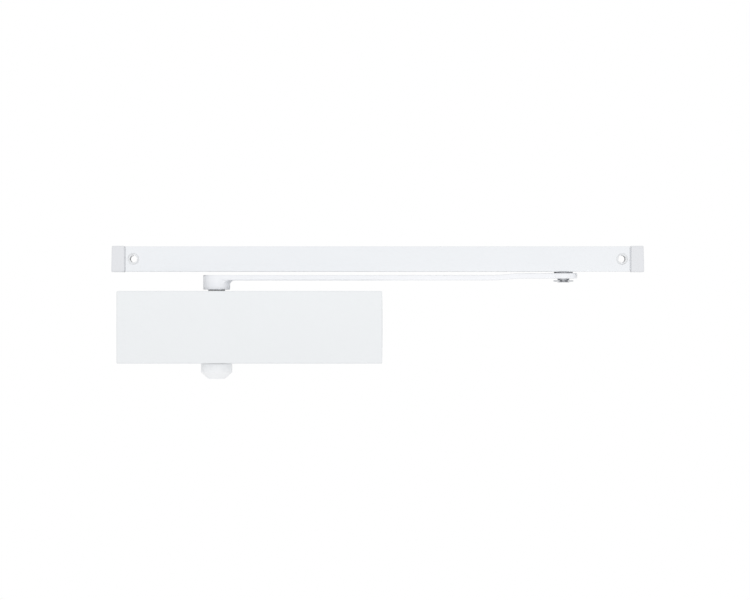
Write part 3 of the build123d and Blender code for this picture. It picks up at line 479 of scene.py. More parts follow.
def edge_group():
    """Rounded-edge normals and a broken-up mask of the edges, where a lighter tint is painted on as a
    highlight.
    """
    tree, enter, leave = new_group(
        "Edges",
        [("Radius", "Float", 0.0004), ("Breakup", "Float", 260.0), ("Strength", "Float", 1.0)],
        [("Normal", "Vector"), ("Mask", "Float")],
    )
    edge = place(tree, "Bevel", samples=4)
    tree.links.new(enter.outputs["Radius"], edge.inputs["Radius"])
    surface = place(tree, "NewGeometry")
    dot = place(tree, "VectorMath", operation="DOT_PRODUCT")
    tree.links.new(edge.outputs["Normal"], dot.inputs[0])
    tree.links.new(surface.outputs["Normal"], dot.inputs[1])
    # Painted highlight mask: how far the rounded-edge normal bends, broken up by noise, marks where a
    # lighter tint goes.
    sharp = math_node(tree, "SUBTRACT", 1.0, dot.outputs["Value"])
    place_on = place(tree, "TexCoord")
    patches = noise(tree, place_on.outputs["Object"], enter.outputs["Breakup"], 3.0, 0.6)
    broken = math_node(tree, "MULTIPLY", sharp, math_node(tree, "MULTIPLY", patches, 9.0))
    highlight_mask = place(tree, "Math", operation="MULTIPLY", use_clamp=True)
    tree.links.new(broken, highlight_mask.inputs[0])
    tree.links.new(enter.outputs["Strength"], highlight_mask.inputs[1])
    tree.links.new(edge.outputs["Normal"], leave.inputs["Normal"])
    tree.links.new(highlight_mask.outputs[0], leave.inputs["Mask"])


def coat_group():
    """Powder coat: a fine orange peel, a finer grain in it, and a slow drift of tone and gloss."""
    inputs = [("Peel", "Float", 650.0), ("Drift", "Float", 0.02), ("Gloss", "Float", 0.42)]
    tree, enter, leave, where = skin_group("Powder coat", inputs)
    peel = noise(tree, where, enter["Peel"], 1.0, 0.45)
    grain = noise(tree, where, math_node(tree, "MULTIPLY", enter["Peel"], 4.5), 2.0, 0.6)
    slow = noise(tree, where, 22.0, 3.0, 0.55)
    uneven = total(tree, swing(tree, slow, 2.0), swing(tree, grain, 0.7))
    tone = total(tree, math_node(tree, "MULTIPLY", uneven, enter["Drift"]), 1.0)
    rough = total(tree, enter["Gloss"], swing(tree, slow, 0.16), swing(tree, grain, 0.07))
    height = total(tree, peel, math_node(tree, "MULTIPLY", grain, 0.22))
    close_skin(tree, enter, leave, tone, rough, height)


def machined_group():
    """Turned, ground or drawn metal: fine lines along one direction, smudges and small pits."""
    inputs = [("Stretch", "Vector", (1.0, 1.0, 1.0)), ("Lines", "Float", 2600.0), ("Gloss", "Float", 0.32)]
    tree, enter, leave, where = skin_group("Machined metal", inputs)
    drawn = place(tree, "VectorMath", operation="MULTIPLY")
    tree.links.new(where, drawn.inputs[0])
    tree.links.new(enter["Stretch"], drawn.inputs[1])
    lines = noise(tree, drawn.outputs["Vector"], enter["Lines"], 3.0, 0.65)
    smudge = noise(tree, where, 70.0, 4.0, 0.6)
    pits = noise(tree, where, 900.0, 2.0, 0.5)
    tone = total(tree, swing(tree, lines, 0.22), 1.0, swing(tree, smudge, 0.16))
    rough = total(tree, enter["Gloss"], swing(tree, smudge, 0.3), swing(tree, lines, 0.2))
    height = total(tree, lines, math_node(tree, "MULTIPLY", pits, 0.3))
    close_skin(tree, enter, leave, tone, rough, height)


def cast_group():
    """Die-cast skin: soft flow marks, a fine blasted grain and small dark pores."""
    inputs = [("Grain", "Float", 1500.0), ("Gloss", "Float", 0.5)]
    tree, enter, leave, where = skin_group("Die casting", inputs)
    flow = noise(tree, where, 38.0, 4.0, 0.6)
    grain = noise(tree, where, enter["Grain"], 3.0, 0.7)
    pores = place(tree, "TexVoronoi", inputs={"Scale": 420.0})
    tree.links.new(where, pores.inputs["Vector"])
    pit = math_node(tree, "LESS_THAN", pores.outputs["Distance"], 0.09)
    dark = math_node(tree, "MULTIPLY", pit, -0.25)
    tone = total(tree, swing(tree, flow, 0.3), 1.0, swing(tree, grain, 0.16), dark)
    rough = total(tree, enter["Gloss"], swing(tree, flow, 0.25))
    height = total(tree, grain, math_node(tree, "MULTIPLY", pit, -0.8))
    close_skin(tree, enter, leave, tone, rough, height)


EFFECTS = {
    "Edges": edge_group,
    "Powder coat": coat_group,
    "Machined metal": machined_group,
    "Die casting": cast_group,
}


def effect(tree, name, **values):
    """Places a shared effect in a material, with that material's own values."""
    if name not in bpy.data.node_groups:
        EFFECTS[name]()
    node = tree.nodes.new("ShaderNodeGroup")
    node.node_tree = bpy.data.node_groups[name]
    for key, value in values.items():
        node.inputs[key].default_value = value
    return node


def finish_material(name, surface, values, depth, edge_radius, edge_highlight, highlight_strength, **principled):
    """A material from one surface effect, with rounded edges that take a painted highlight.

    The edge mask mixes a lighter tint into the surface's colour as a painted highlight. The surface's height
    feeds a bump whose depth is in metres, over the rounded-edge normal.
    """
    material = bpy.data.materials.new(name)
    material.use_nodes = True
    tree = material.node_tree
    shader = tree.nodes["Principled BSDF"]
    for key, value in principled.items():
        shader.inputs[key.replace("_", " ")].default_value = value
    skin = effect(tree, surface, **values)
    edges = effect(tree, "Edges", Radius=edge_radius, Strength=highlight_strength)
    mix = place(tree, "Mix", data_type="RGBA")
    tree.links.new(edges.outputs["Mask"], mix.inputs["Factor"])
    tree.links.new(skin.outputs["Color"], mix.inputs[6])
    # Painted highlight: a lighter tint mixed into the colour along the edges.
    mix.inputs[7].default_value = (*edge_highlight, 1.0)
    tree.links.new(mix.outputs[2], shader.inputs["Base Color"])
    tree.links.new(skin.outputs["Roughness"], shader.inputs["Roughness"])
    bump = place(tree, "Bump", inputs={"Strength": 1.0, "Distance": depth})
    tree.links.new(skin.outputs["Height"], bump.inputs["Height"])
    tree.links.new(edges.outputs["Normal"], bump.inputs["Normal"])
    tree.links.new(bump.outputs["Normal"], shader.inputs["Normal"])


# ---------------------------------------------------------------- finishes


def paints():
    """Every finish of the closer, by the record's material slot."""
    if "Cover powder coat" not in bpy.data.materials:
        make_paints(bpy.context.scene.closer_finishes)
    return {slot_name: bpy.data.materials[name] for slot_name, name in FINISH_NAMES.items()}


def make_paints(tone):
    """Makes every finish. A coat's or metal's edges get a lighter tint of its base colour, a painted
    highlight.

    Peel and lines are features per metre. Depth, of the bump, and edge, its rounding, are in metres.
    """

    def coat(name, base, peel, drift, gloss, depth, edge):
        values = {"Base": (*base, 1.0), "Peel": peel, "Drift": drift, "Gloss": gloss}
        # Painted highlight on the coat's edges: the base colour, 6 % lighter.
        highlight_tint = [min(1.0, value * 1.06) for value in base]
        finish_material(name, "Powder coat", values, depth, edge, highlight_tint, 0.5, Coat_Weight=0.12)

    def metal(name, base, stretch, lines, gloss, depth, edge, metallic=1.0):
        values = {"Base": (*base, 1.0), "Stretch": stretch, "Lines": lines, "Gloss": gloss}
        # Painted highlight on the metal's edges: the base colour, 25 % lighter.
        highlight_tint = [min(1.0, value * 1.25) for value in base]
        finish_material(name, "Machined metal", values, depth, edge, highlight_tint, 0.7, Metallic=metallic)

    coat("Cover powder coat", tone.cover, 620.0, 0.016, 0.44, 0.00003, 0.0005)
    coat("Arm powder coat", tone.arm, 760.0, 0.02, 0.38, 0.00003, 0.0005)
    coat("Rail coat", tone.rail, 900.0, 0.014, 0.40, 0.00002, 0.0003)
    coat("End cap plastic", tone.end_plastic, 1500.0, 0.03, 0.46, 0.00002, 0.0003)
    coat("Shaft cap plastic", tone.cap_plastic, 1400.0, 0.02, 0.42, 0.00002, 0.0003)
    coat("Acetal", tone.acetal, 1200.0, 0.05, 0.36, 0.00002, 0.0003)
    coat("Block plastic", tone.block, 1300.0, 0.03, 0.42, 0.00002, 0.0003)
    coat("Nitrile rubber", (0.02, 0.02, 0.022), 1800.0, 0.3, 0.62, 0.00003, 0.0003)
    casting = {"Base": (*tone.casting, 1.0), "Grain": 1500.0, "Gloss": 0.46}
    # Painted highlight on the casting's edges: a light grey.
    highlight_tint = (0.8, 0.8, 0.81)
    finish_material("Die-cast aluminium", "Die casting", casting, 0.00005, 0.0006, highlight_tint, 0.6, Metallic=0.9)
    metal("Zinc-plated steel", tone.steel, (1.0, 1.0, 0.06), 2400.0, 0.34, 0.00001, 0.0003)
    metal("Turned pin steel", tone.pin_steel, (0.06, 0.06, 1.0), 3600.0, 0.5, 0.000015, 0.0001, 0.15)
    metal("Ground steel", (0.6, 0.61, 0.63), (1.0, 0.08, 0.08), 3200.0, 0.24, 0.00001, 0.0003)
    metal("Nickel-plated shaft", tone.shaft, (0.06, 0.06, 1.0), 2600.0, 0.5, 0.00001, 0.0002, 0.1)
    metal("Hardened steel", (0.42, 0.42, 0.43), (0.1, 1.0, 1.0), 2600.0, 0.3, 0.00001, 0.0003)
    metal("Spring steel sheet", (0.62, 0.63, 0.65), (0.08, 1.0, 1.0), 3000.0, 0.28, 0.00001, 0.0002)
    metal("Oil-tempered wire", (0.09, 0.09, 0.095), (1.0, 1.0, 1.0), 1400.0, 0.36, 0.00002, 0.0003)
    metal("Turned brass", (0.62, 0.43, 0.16), (0.08, 1.0, 1.0), 3200.0, 0.26, 0.00001, 0.0002)


FINISH_NAMES = {
    "cover_paint": "Cover powder coat",
    "arm_paint": "Arm powder coat",
    "rail_paint": "Rail coat",
    "end_plastic": "End cap plastic",
    "cap_plastic": "Shaft cap plastic",
    "slider_plastic": "Acetal",
    "seal_rubber": "Nitrile rubber",
    "cast_body": "Die-cast aluminium",
    "block_plastic": "Block plastic",
    "shaft_nickel": "Nickel-plated shaft",
    "plated_steel": "Zinc-plated steel",
    "pin_steel": "Turned pin steel",
    "bearing_steel": "Ground steel",
    "hard_steel": "Hardened steel",
    "spring_sheet": "Spring steel sheet",
    "spring_wire": "Oil-tempered wire",
    "valve_brass": "Turned brass",
}


# ---------------------------------------------------------------- pieces


class CLOSER_OT_cover(bpy.types.Operator):
    """Builds the cover: a thin box with crowned ends, open towards the door"""

    bl_idname = "closer.cover"
    bl_label = "Cover"

    def execute(self, context):
        sizes = context.scene.closer_cover
        low, high = span("cover")
        centre = (low + high) / 2
        half_x, depth, half_z = (high - low) / 2 - (sizes.shoulder, 0, 0)
        front, back = low[1], high[1]
        edge = sizes.edge

        def ring(inset, y):
            """Outline at one depth: a rounded rectangle, crowned at its ends.

            The crown adds bulge * (1 - (z / half height) squared) * (1 - (depth from the middle /
            half depth) squared) to the distance from the middle, so it fades out at all four edges.
            """
            across, up = half_x - inset, half_z - inset
            loop = box_loop(-across, across, -up, up, edge, 7, 24, 16)
            fade = (1 - (loop[:, 1] / half_z) ** 2) * (1 - ((y - centre[1]) / depth) ** 2)
            loop[:, 0] += np.sign(loop[:, 0]) * sizes.bulge * np.maximum(fade, 0)
            return along("Y", loop + centre[::2], [y])

        inner_front = front + sizes.wall
        fillet = 0.4 * MM
        rings = [ring(edge * 4, front), ring(edge * 1.6, front)]
        rings += [ring(inset, front + down) for inset, down in quarter(edge, 6)]
        rings += [ring(0, y) for y in np.linspace(front + edge, back, 13)[1:]]
        rings += [ring(sizes.wall, y) for y in np.linspace(back, inner_front + fillet, 9)]
        rings += [ring(sizes.wall + fillet, inner_front), ring(sizes.wall * 3, inner_front)]
        cover = loft("cover_shell", np.concatenate(rings))
        over = 5 * MM
        left, right = SHAFT[0] - sizes.notch, SHAFT[0] + sizes.notch
        foot, top = back + over, SHAFT[1] - sizes.notch
        corner = sizes.notch * 0.999  # a little under half the width keeps a straight run between them
        notch = rounded([(left, foot), (left, top), (right, top), (right, foot)], [0, corner, corner, 0], 16)
        cutter = prism("notch", "Z", notch, [low[2] - over, high[2] + over])
        ribs = []
        rib_half, rib_end, root = 0.7 * MM, 4 * MM, 0.3 * MM
        for share in (-0.66, -0.22, 0.22, 0.66):
            x = centre[0] + share * half_x
            loop = soft_box(x - rib_half, x + rib_half, low[2] + rib_end, high[2] - rib_end, 0.5 * MM, 3)
            ribs.append(prism("rib", "Y", loop, [inner_front - root, inner_front + sizes.rib]))
        combine(cover, ribs, "UNION")
        combine(cover, [cutter])
        finish_piece(smooth(cover, 40), "cover", "cover_paint", "cover")
        return {"FINISHED"}


class CLOSER_OT_housing(bpy.types.Operator):
    """Builds the die-cast housing: rounded front corners, ears, bores, and pockets in its back"""

    bl_idname = "closer.housing"
    bl_label = "Housing"

    def execute(self, context):
        sizes = context.scene.closer_housing
        low, high = span("housing")
        back = high[1]
        end = span("end_plug_right")[1][0]

        def section(inset):
            """Section across the body, drawn in by the inset, with large corners at the front."""
            bottom, top, front = low[2] + inset, high[2] - inset, low[1] + inset
            corners = [(back, bottom), (back, top), (front, top), (front, bottom)]
            corner = sizes.corner - inset
            return rounded(corners, [0.3 * MM, 0.3 * MM, corner, corner], 8)

        steps = [(end, sizes.edge)] + [(end - down, inset) for inset, down in quarter(sizes.edge, 4)[1:]]
        steps = [(-x, inset) for x, inset in steps] + steps[::-1]
        housing = stepped("housing_casting", "X", section, steps)
        face = back - sizes.ear
        steps = [(back, 0), (face + 0.5 * MM, 0), (face + 0.15 * MM, 0.15 * MM), (face, 0.5 * MM)]
        ears = self.plate("ears", 0, (high[0] - low[0]) / 2, sizes.ear_height / 2, steps)
        combine(housing, [ears], "UNION")
        combine(housing, self.bores(low, high, end) + self.pockets(back, sizes))
        finish_piece(smooth(housing, 32), "body", "cast_body", "housing")
        return {"FINISHED"}

    def plate(self, name, x, half, up, steps, corner=4 * MM):
        """A rounded plate in the back's plane, whose corners shrink as it is drawn in."""

        def outline(inset):
            left, right = x - half + inset, x + half - inset
            return soft_box(left, right, inset - up, up - inset, corner - inset, 7)

        return stepped(name, "Y", outline, steps)

    def bores(self, low, high, end):
        """Cutters for the main bore, the shaft's bore with the gear's chamber, and the valve bores."""
        margin = 1 * MM
        chamfer = 0.6 * MM
        mouth = chamfer + margin
        plug_low, plug_high = span("end_plug_right")
        bore = (plug_high[2] - plug_low[2]) / 2 + 0.05 * MM
        right = [(bore, end - chamfer), (bore + mouth, end + margin), (0, end + margin)]
        profile = [(radius, -x) for radius, x in right[::-1]] + right
        made = [turned("bore", profile, middle("end_plug_right")[1:], "X")]
        pinion_low, pinion_high = span("pinion")
        gear = (pinion_high[0] - pinion_low[0]) / 2 + 0.5 * MM
        bearing_low, bearing_high = span("bearing_upper")
        seat = (bearing_high[0] - bearing_low[0]) / 2 + 0.03 * MM
        floor = bearing_low[2]
        bottom = [(0, low[2] - margin), (seat + mouth, low[2] - margin), (seat, low[2] + chamfer)]
        chamber = [(seat, -floor), (gear, -floor), (gear, floor), (seat, floor)]
        top = [(seat, high[2] - chamfer), (seat + mouth, high[2] + margin), (0, high[2] + margin)]
        made.append(turned("shaft_bore", bottom + chamber + top, SHAFT[:2]))
        for name in ("closing_speed_valve", "latching_speed_valve", "backcheck_valve"):
            valve_low, valve_high = span(name)
            radius = (valve_high[2] - valve_low[2]) / 2 + 0.05 * MM
            inner = valve_high[0] + 0.2 * MM
            profile = [(0, -end - margin), (radius + chamfer, -end - margin), (radius + chamfer, -end)]
            profile += [(radius, -end + chamfer), (radius, inner), (0, inner)]
            made.append(turned("valve_bore", profile, middle(name)[1:], "X", 40))
        return made

    def pockets(self, back, sizes):
        """Cutters for the holes in the ears and the shallow pockets in the back."""
        for mount in frame["record"]["mounts"]:
            if mount["name"] == "body_fixings":
                dims = mount["dims"]
        x = dims["spacing_x_mm"] / 2 * MM
        z = dims["spacing_y_mm"] / 2 * MM
        clip_hole = 2.0 * MM
        through = [back - sizes.ear - 1 * MM, back + 1 * MM]
        floor = back - sizes.pocket_depth
        steps = [(back + 1 * MM, -0.5 * MM), (floor + 0.5 * MM, 0.3 * MM), (floor, 0.8 * MM)]
        half, up = sizes.pocket_length / 2, sizes.pocket_height / 2
        made = []
        for side in (-1, 1):
            for height in (-z, z):
                made.append(rod("fixing", "Y", (side * x, height), dims["hole_r_mm"] * MM, through))
            made.append(rod("clip_hole", "Y", (side * x, 0), clip_hole, through, 32))
            made.append(self.plate("pocket", side * sizes.pocket_x, half, up, steps))
        return made


class CLOSER_OT_arm(bpy.types.Operator):
    """Builds the arm: a hub on the shaft and a flat bar that steps up to the slider pin"""

    bl_idname = "closer.arm"
    bl_label = "Arm"

    def execute(self, context):
        sizes = context.scene.closer_arm
        low, high = span("arm")
        over = 1 * MM
        axis_x = low[0] + sizes.hub
        axis_y = (low[1] + high[1]) / 2
        axis = (axis_x, axis_y)
        pin_x = high[0] - sizes.end_radius
        end_top = high[2]
        hub_top = end_top - sizes.rise
        bar_bottom = hub_top - sizes.bar

        def lift(x):
            """Height of the step: rise * (3 t squared - 2 t cubed), t from 0 to 1 along the step."""
            t = np.clip((x - pin_x + sizes.rise_start) / (sizes.rise_start - sizes.rise_end), 0, 1)
            return sizes.rise * t * t * (3 - 2 * t)

        def half_outline(inset):
            """Points along the bar and its half width there.

            Half width is the larger of the straight taper and the two round ends, each the height of a
            circle over the bar's middle line. The points crowd towards both ends as a cosine does.
            """
            first = axis_x - (sizes.hub - inset)
            last = pin_x + sizes.end_radius - inset
            share = np.linspace(0, 1, 161)
            crowd = (1 - np.cos(share * math.pi)) / 2
            for _ in range(3):
                crowd = (1 - np.cos(crowd * math.pi)) / 2
            x = first + (last - first) * (0.55 * crowd + 0.45 * share)
            share = np.clip((x - axis_x) / (pin_x - axis_x), 0, 1)
            taper = sizes.root_width / 2 * (1 - share) + sizes.end_width / 2 * share - inset
            taper = np.where((x > axis_x) & (x < pin_x), taper, 0)
            hub = np.sqrt(np.maximum((sizes.hub - inset) ** 2 - (x - axis_x) ** 2, 0))
            boss = np.sqrt(np.maximum((sizes.end_radius - inset) ** 2 - (x - pin_x) ** 2, 0))
            return x, np.maximum(np.maximum(taper, hub), boss)

        edge = sizes.edge
        steps = [(edge * 3, 0.0)] + quarter(edge, 5)
        steps += [(inset, sizes.bar - down) for inset, down in reversed(steps)]
        rings = []
        for inset, down in steps:
            x, half = half_outline(inset)
            x = np.concatenate([x, x[-2:0:-1]])
            half = np.concatenate([-half, half[-2:0:-1]])
            z = hub_top - down + lift(x)
            rings.append(np.stack([x, axis_y + half, z], axis=-1))
        bar = strip_solid("arm_forging", np.asarray(rings))
        hub_roof = hub_top - edge * 1.2
        corners = [(0, low[2]), (sizes.hub, low[2]), (sizes.hub, hub_roof), (0, hub_roof)]
        hub = turned("hub", rounded(corners, [0, 0.8 * MM, 0, 0], 5, closed=False), axis, points=128)
        fillet = sizes.root_fillet
        inner, outer = sizes.hub - 0.02 * MM, sizes.hub + fillet * 1.3
        foot, roof = bar_bottom - fillet * 1.2, bar_bottom + over
        corners = [(0, foot), (inner, foot), (inner, bar_bottom)]
        corners += [(outer, bar_bottom), (outer, roof), (0, roof)]
        flare = rounded(corners, [0, 0, fillet, 0, 0, 0], 10, closed=False)
        web = turned("web", flare, axis, points=128)
        half = sizes.root_width / 2 - 0.6 * MM
        loop = soft_box(axis_x, axis_x + sizes.hub * 2, axis_y - half, axis_y + half, 0.5 * MM, 3)
        reach = prism("reach", "Z", loop, [bar_bottom - fillet * 2, bar_bottom + 2 * MM])
        combine(web, [reach], "INTERSECT")
        combine(bar, [hub, web], "UNION")
        seat_radius, seat_floor = 5.5 * MM, hub_top - 3.4 * MM
        square, square_roof = 5.05 * MM, hub_top - 5.8 * MM
        screw, pin = 3.05 * MM, 5.05 * MM
        loop = soft_box(axis_x - square, axis_x + square, axis_y - square, axis_y + square, 0.4 * MM, 3)
        cutters = [
            rod("screw_seat", "Z", axis, seat_radius, [seat_floor, hub_top + over], 96),
            prism("socket", "Z", loop, [low[2] - over, square_roof]),
            rod("screw_hole", "Z", axis, screw, [low[2], hub_top]),
            rod("pin_hole", "Z", (pin_x, axis_y), pin, [hub_top - 6 * MM, end_top + over], 64),
        ]
        combine(bar, cutters)
        finish_piece(smooth(bar, 38), "arm", "arm_paint", "arm")
        return {"FINISHED"}


class CLOSER_OT_rail(bpy.types.Operator):
    """Builds the guide rail: an extrusion with a slotted channel and a closed rear chamber"""

    bl_idname = "closer.rail"
    bl_label = "Guide rail"

    def execute(self, context):
        sizes = context.scene.closer_rail
        low, high = span("rail")
        wall = sizes.wall
        channel_front = low[1] + wall
        channel_back = channel_front + sizes.channel
        channel_y = (channel_front + channel_back) / 2
        slot_front = channel_y - sizes.slot / 2
        slot_back = channel_y + sizes.slot / 2
        floor = low[2] + wall
        roof = high[2] - wall
        back, front, bottom, top = high[1], low[1], low[2], high[2]
        corners = [(back, bottom), (slot_back, bottom), (slot_back, floor), (channel_back, floor)]
        corners += [(channel_back, roof), (channel_front, roof), (channel_front, floor), (slot_front, floor)]
        corners += [(slot_front, bottom), (front, bottom), (front, top), (back, top)]
        shares = np.array([0.4, 0.3, 0.3, 0.4, 0.5, 0.5, 0.4, 0.3, 0.3, 1.0, 1.0, 0.4])
        section = rounded(corners, shares * sizes.edge, 5)
        rail = prism("rail_extrusion", "X", section, [low[0], high[0]])
        over = 1 * MM
        rear = soft_box(channel_back + wall, high[1] - wall, floor, roof, 0.5 * MM, 4)
        cutters = [prism("rear_chamber", "X", rear, [low[0] - over, high[0] + over])]
        for x in (low[0] + sizes.inset, high[0] - sizes.inset):
            centre = (x, (low[2] + high[2]) / 2)
            cutters.append(rod("through", "Y", centre, sizes.screw, [low[1] - over, high[1] + over], 56))
            deep = [low[1] - over, channel_front + 0.5 * MM]
            cutters.append(rod("access", "Y", centre, sizes.access, deep, 72))
        combine(rail, cutters)
        finish_piece(smooth(rail, 30), "rail", "rail_paint", "rail")
        return {"FINISHED"}


class CLOSER_OT_rail_caps(bpy.types.Operator):
    """Builds the moulded end caps of the rail, each with a shadow seam and a hollow spigot"""

    bl_idname = "closer.rail_caps"
    bl_label = "Rail end caps"

    def execute(self, context):
        sizes = context.scene.closer_rail
        rail_low, rail_high = span("rail")
        edge = 0.9 * MM
        corner = 1.3 * MM
        gap = 0.2 * MM
        wall = 1.6 * MM
        chamber = (
            rail_low[1] + 2 * sizes.wall + sizes.channel + gap,
            rail_high[1] - sizes.wall - gap,
            rail_low[2] + sizes.wall + gap,
            rail_high[2] - sizes.wall - gap,
        )
        neck_edge = 0.8 * MM
        neck_sides = (rail_low[1], rail_high[1], rail_low[2], rail_high[2])
        for side, name in ((-1, "rail_cap_left"), (1, "rail_cap_right")):
            low, high = span(name)
            rail_end = rail_low[0] if side < 0 else rail_high[0]
            outer, spigot_end = (low[0], high[0]) if side < 0 else (high[0], low[0])
            inner = rail_end + side * sizes.seam

            def ring(x, inset):
                """Section of the cap, drawn in by the inset, its upper part leaning inwards.

                The lean is taper * (height share) * (share of the way from the seam to the outer end).
                """
                sides = self.shrunk((low[1], high[1], low[2], high[2]), inset)
                points = along("X", box_loop(*sides, corner, 5, 8, 8), [x])
                height = (points[:, :, 2] - low[2]) / (high[2] - low[2])
                outwards = np.clip((x - inner) / (outer - inner), 0, 1)
                points[:, :, 0] -= side * sizes.taper * height * outwards
                return points

            rings = [ring(inner, 0.7 * MM), ring(inner, 0.25 * MM), ring(inner + side * 0.25 * MM, 0)]
            rings += [ring(x, 0) for x in np.linspace(inner + side * 0.6 * MM, outer - side * edge, 5)]
            rings += [ring(outer - side * short, inset) for short, inset in quarter(edge, 5)[1:]]
            rings += [ring(outer, edge * 1.6), ring(outer, edge * 4)]
            cap = loft(name + "_moulding", np.concatenate(rings))
            loop = soft_box(*self.shrunk(neck_sides, neck_edge), 0.4 * MM, 3)
            neck = prism("neck", "X", loop, sorted([rail_end, inner + side * 1 * MM]))
            plug = prism("plug", "X", soft_box(*chamber, 0.5 * MM, 3), sorted([spigot_end, inner]))
            loop = soft_box(*self.shrunk(chamber, wall), 0.4 * MM, 3)
            hollow = prism("hollow", "X", loop, sorted([spigot_end - side * 1 * MM, rail_end]))
            centre = (rail_end - side * sizes.inset, (low[2] + high[2]) / 2)
            through = [chamber[0] - 2 * MM, chamber[1] + 2 * MM]
            hole = rod("hole", "Y", centre, sizes.screw + 0.2 * MM, through, 40)
            combine(cap, [neck, plug], "UNION")
            combine(cap, [hollow, hole])
            finish_piece(smooth(cap, 34), name, "end_plastic", name)
        return {"FINISHED"}

    def shrunk(self, sides, inset):
        """A box's four sides, drawn in by the inset."""
        return sides[0] + inset, sides[1] - inset, sides[2] + inset, sides[3] - inset


class CLOSER_OT_shaft_cap(bpy.types.Operator):
    """Builds the cup over the lower end of the shaft: straight, then drawn in to a small flat"""

    bl_idname = "closer.shaft_cap"
    bl_label = "Shaft cap"

    def execute(self, context):
        low, high = span("shaft_cap")
        radius = (high[0] - low[0]) / 2
        skirt = radius - 1.7 * MM
        socket = 7.25 * MM
        boss = socket + 1.6 * MM
        deep = high[2] - 6.0 * MM
        roof = low[2] + 2.55 * MM
        outside = [(0, low[2]), (radius - 6.3 * MM, low[2]), (radius, low[2] + 5.6 * MM), (radius, high[2])]
        inside = [(skirt, high[2]), (skirt, deep), (boss, deep), (boss, high[2])]
        middle_hole = [(socket, high[2]), (socket, roof), (0, roof)]
        radii = np.array([0, 0.7, 0.9, 0.35, 0.2, 0.3, 0.3, 0.2, 0.3, 0.3, 0]) * MM
        profile = rounded(outside + inside + middle_hole, radii, 5, closed=False)
        cap = turned("shaft_cap_moulding", profile, SHAFT[:2], points=128)
        finish_piece(smooth(cap, 34), "shaft_cap", "cap_plastic", "shaft_cap")
        return {"FINISHED"}


class CLOSER_OT_slider(bpy.types.Operator):
    """Builds the slider, its headed pin with the collar, and the retaining ring"""

    bl_idname = "closer.slider"
    bl_label = "Slider, pin and ring"

    def execute(self, context):
        self.block()
        self.pin()
        self.ring()
        return {"FINISHED"}

    def block(self):
        """Block with a narrower tongue below it that fills the rail's slot."""
        low, high = span("slider")
        centre_y = (low[1] + high[1]) / 2
        floor = high[2] - 12.0 * MM
        chamfer = 0.5 * MM
        over = 1 * MM
        tongue = 5.2 * MM
        stem, head = 4.05 * MM, 5.7 * MM

        def outline(inset):
            """Plan of the block, drawn in by the inset."""
            corner = 1.6 * MM - 0.4 * inset
            return soft_box(low[0] + inset, high[0] - inset, low[1] + inset, high[1] - inset, corner, 5)

        steps = [(floor, chamfer), (floor + chamfer, 0), (high[2] - chamfer, 0), (high[2], chamfer)]
        block = stepped("slider_block", "Z", outline, steps)
        loop = soft_box(low[0], high[0], centre_y - tongue, centre_y + tongue, 1.5 * MM, 5)
        combine(block, [prism("keel", "Z", loop, [low[2], floor + over])], "UNION")
        cutters = [
            rod("stem", "Z", PIN[:2], stem, [low[2] - over, high[2] + over]),
            rod("head", "Z", PIN[:2], head, [high[2] - 2.0 * MM, high[2] + over]),
        ]
        combine(block, cutters)
        finish_piece(smooth(block, 34), "slider", "slider_plastic", "slider")

    def pin(self):
        """Turned pin: rounded tip, ring groove, bearing length, collar, stem and riveted head."""
        low, high = span("slider_pin")
        ring_low, ring_high = span("clip_ring")
        arm_top = span("arm")[1][2]
        collar_bottom = arm_top + 0.15 * MM
        collar_top = span("rail")[0][2] - 0.2 * MM
        groove_low = ring_low[2] - 0.1 * MM
        groove_high = ring_high[2] + 0.1 * MM
        bearing, groove, collar, stem, head = np.array([5.0, 3.9, 8.0, 4.0, 5.5]) * MM
        head_low = high[2] - 2.0 * MM
        corners = [(0, low[2]), (bearing, low[2]), (bearing, groove_low), (groove, groove_low)]
        corners += [(groove, groove_high), (bearing, groove_high), (bearing, collar_bottom)]
        corners += [(collar, collar_bottom), (collar, collar_top), (stem, collar_top), (stem, head_low)]
        corners += [(head, head_low), (head, high[2]), (0, high[2])]
        radii = np.array([0, 0.25, 0.1, 0.08, 0.08, 0.15, 0.1, 0.2, 0.25, 0.1, 0.1, 0.2, 0.7, 0]) * MM
        pin = turned("slider_pin_turned", rounded(corners, radii, 4, closed=False), PIN[:2], points=112)
        finish_piece(smooth(pin, 34), "slider", "pin_steel", "slider_pin")

    def ring(self):
        """Retaining ring: three inner pads grip the groove, and a mouth faces the room.

        The inner edge's radius is the groove's radius plus the gap's depth times the square of the
        sine of one and a half times the angle from the pad opposite the mouth.
        """
        low, high = span("clip_ring")
        outer = (high[0] - low[0]) / 2
        groove, gap = 4.0 * MM, 2.2 * MM
        mouth = math.radians(24)
        sweep = np.linspace(-math.pi / 2 + mouth, 1.5 * math.pi - mouth, 90)
        inner = groove + gap * np.sin(1.5 * (sweep - math.pi / 2)) ** 2
        round_points = np.stack([np.cos(sweep), np.sin(sweep)], axis=-1)
        loop = np.concatenate([outer * round_points, (inner[:, None] * round_points)[::-1]]) + PIN[:2]
        ring = prism("clip_ring_pressed", "Z", loop, [low[2], high[2]])
        soften(ring, 0.15 * MM, 2, 50)
        finish_piece(ring, "slider", "spring_sheet", "clip_ring")


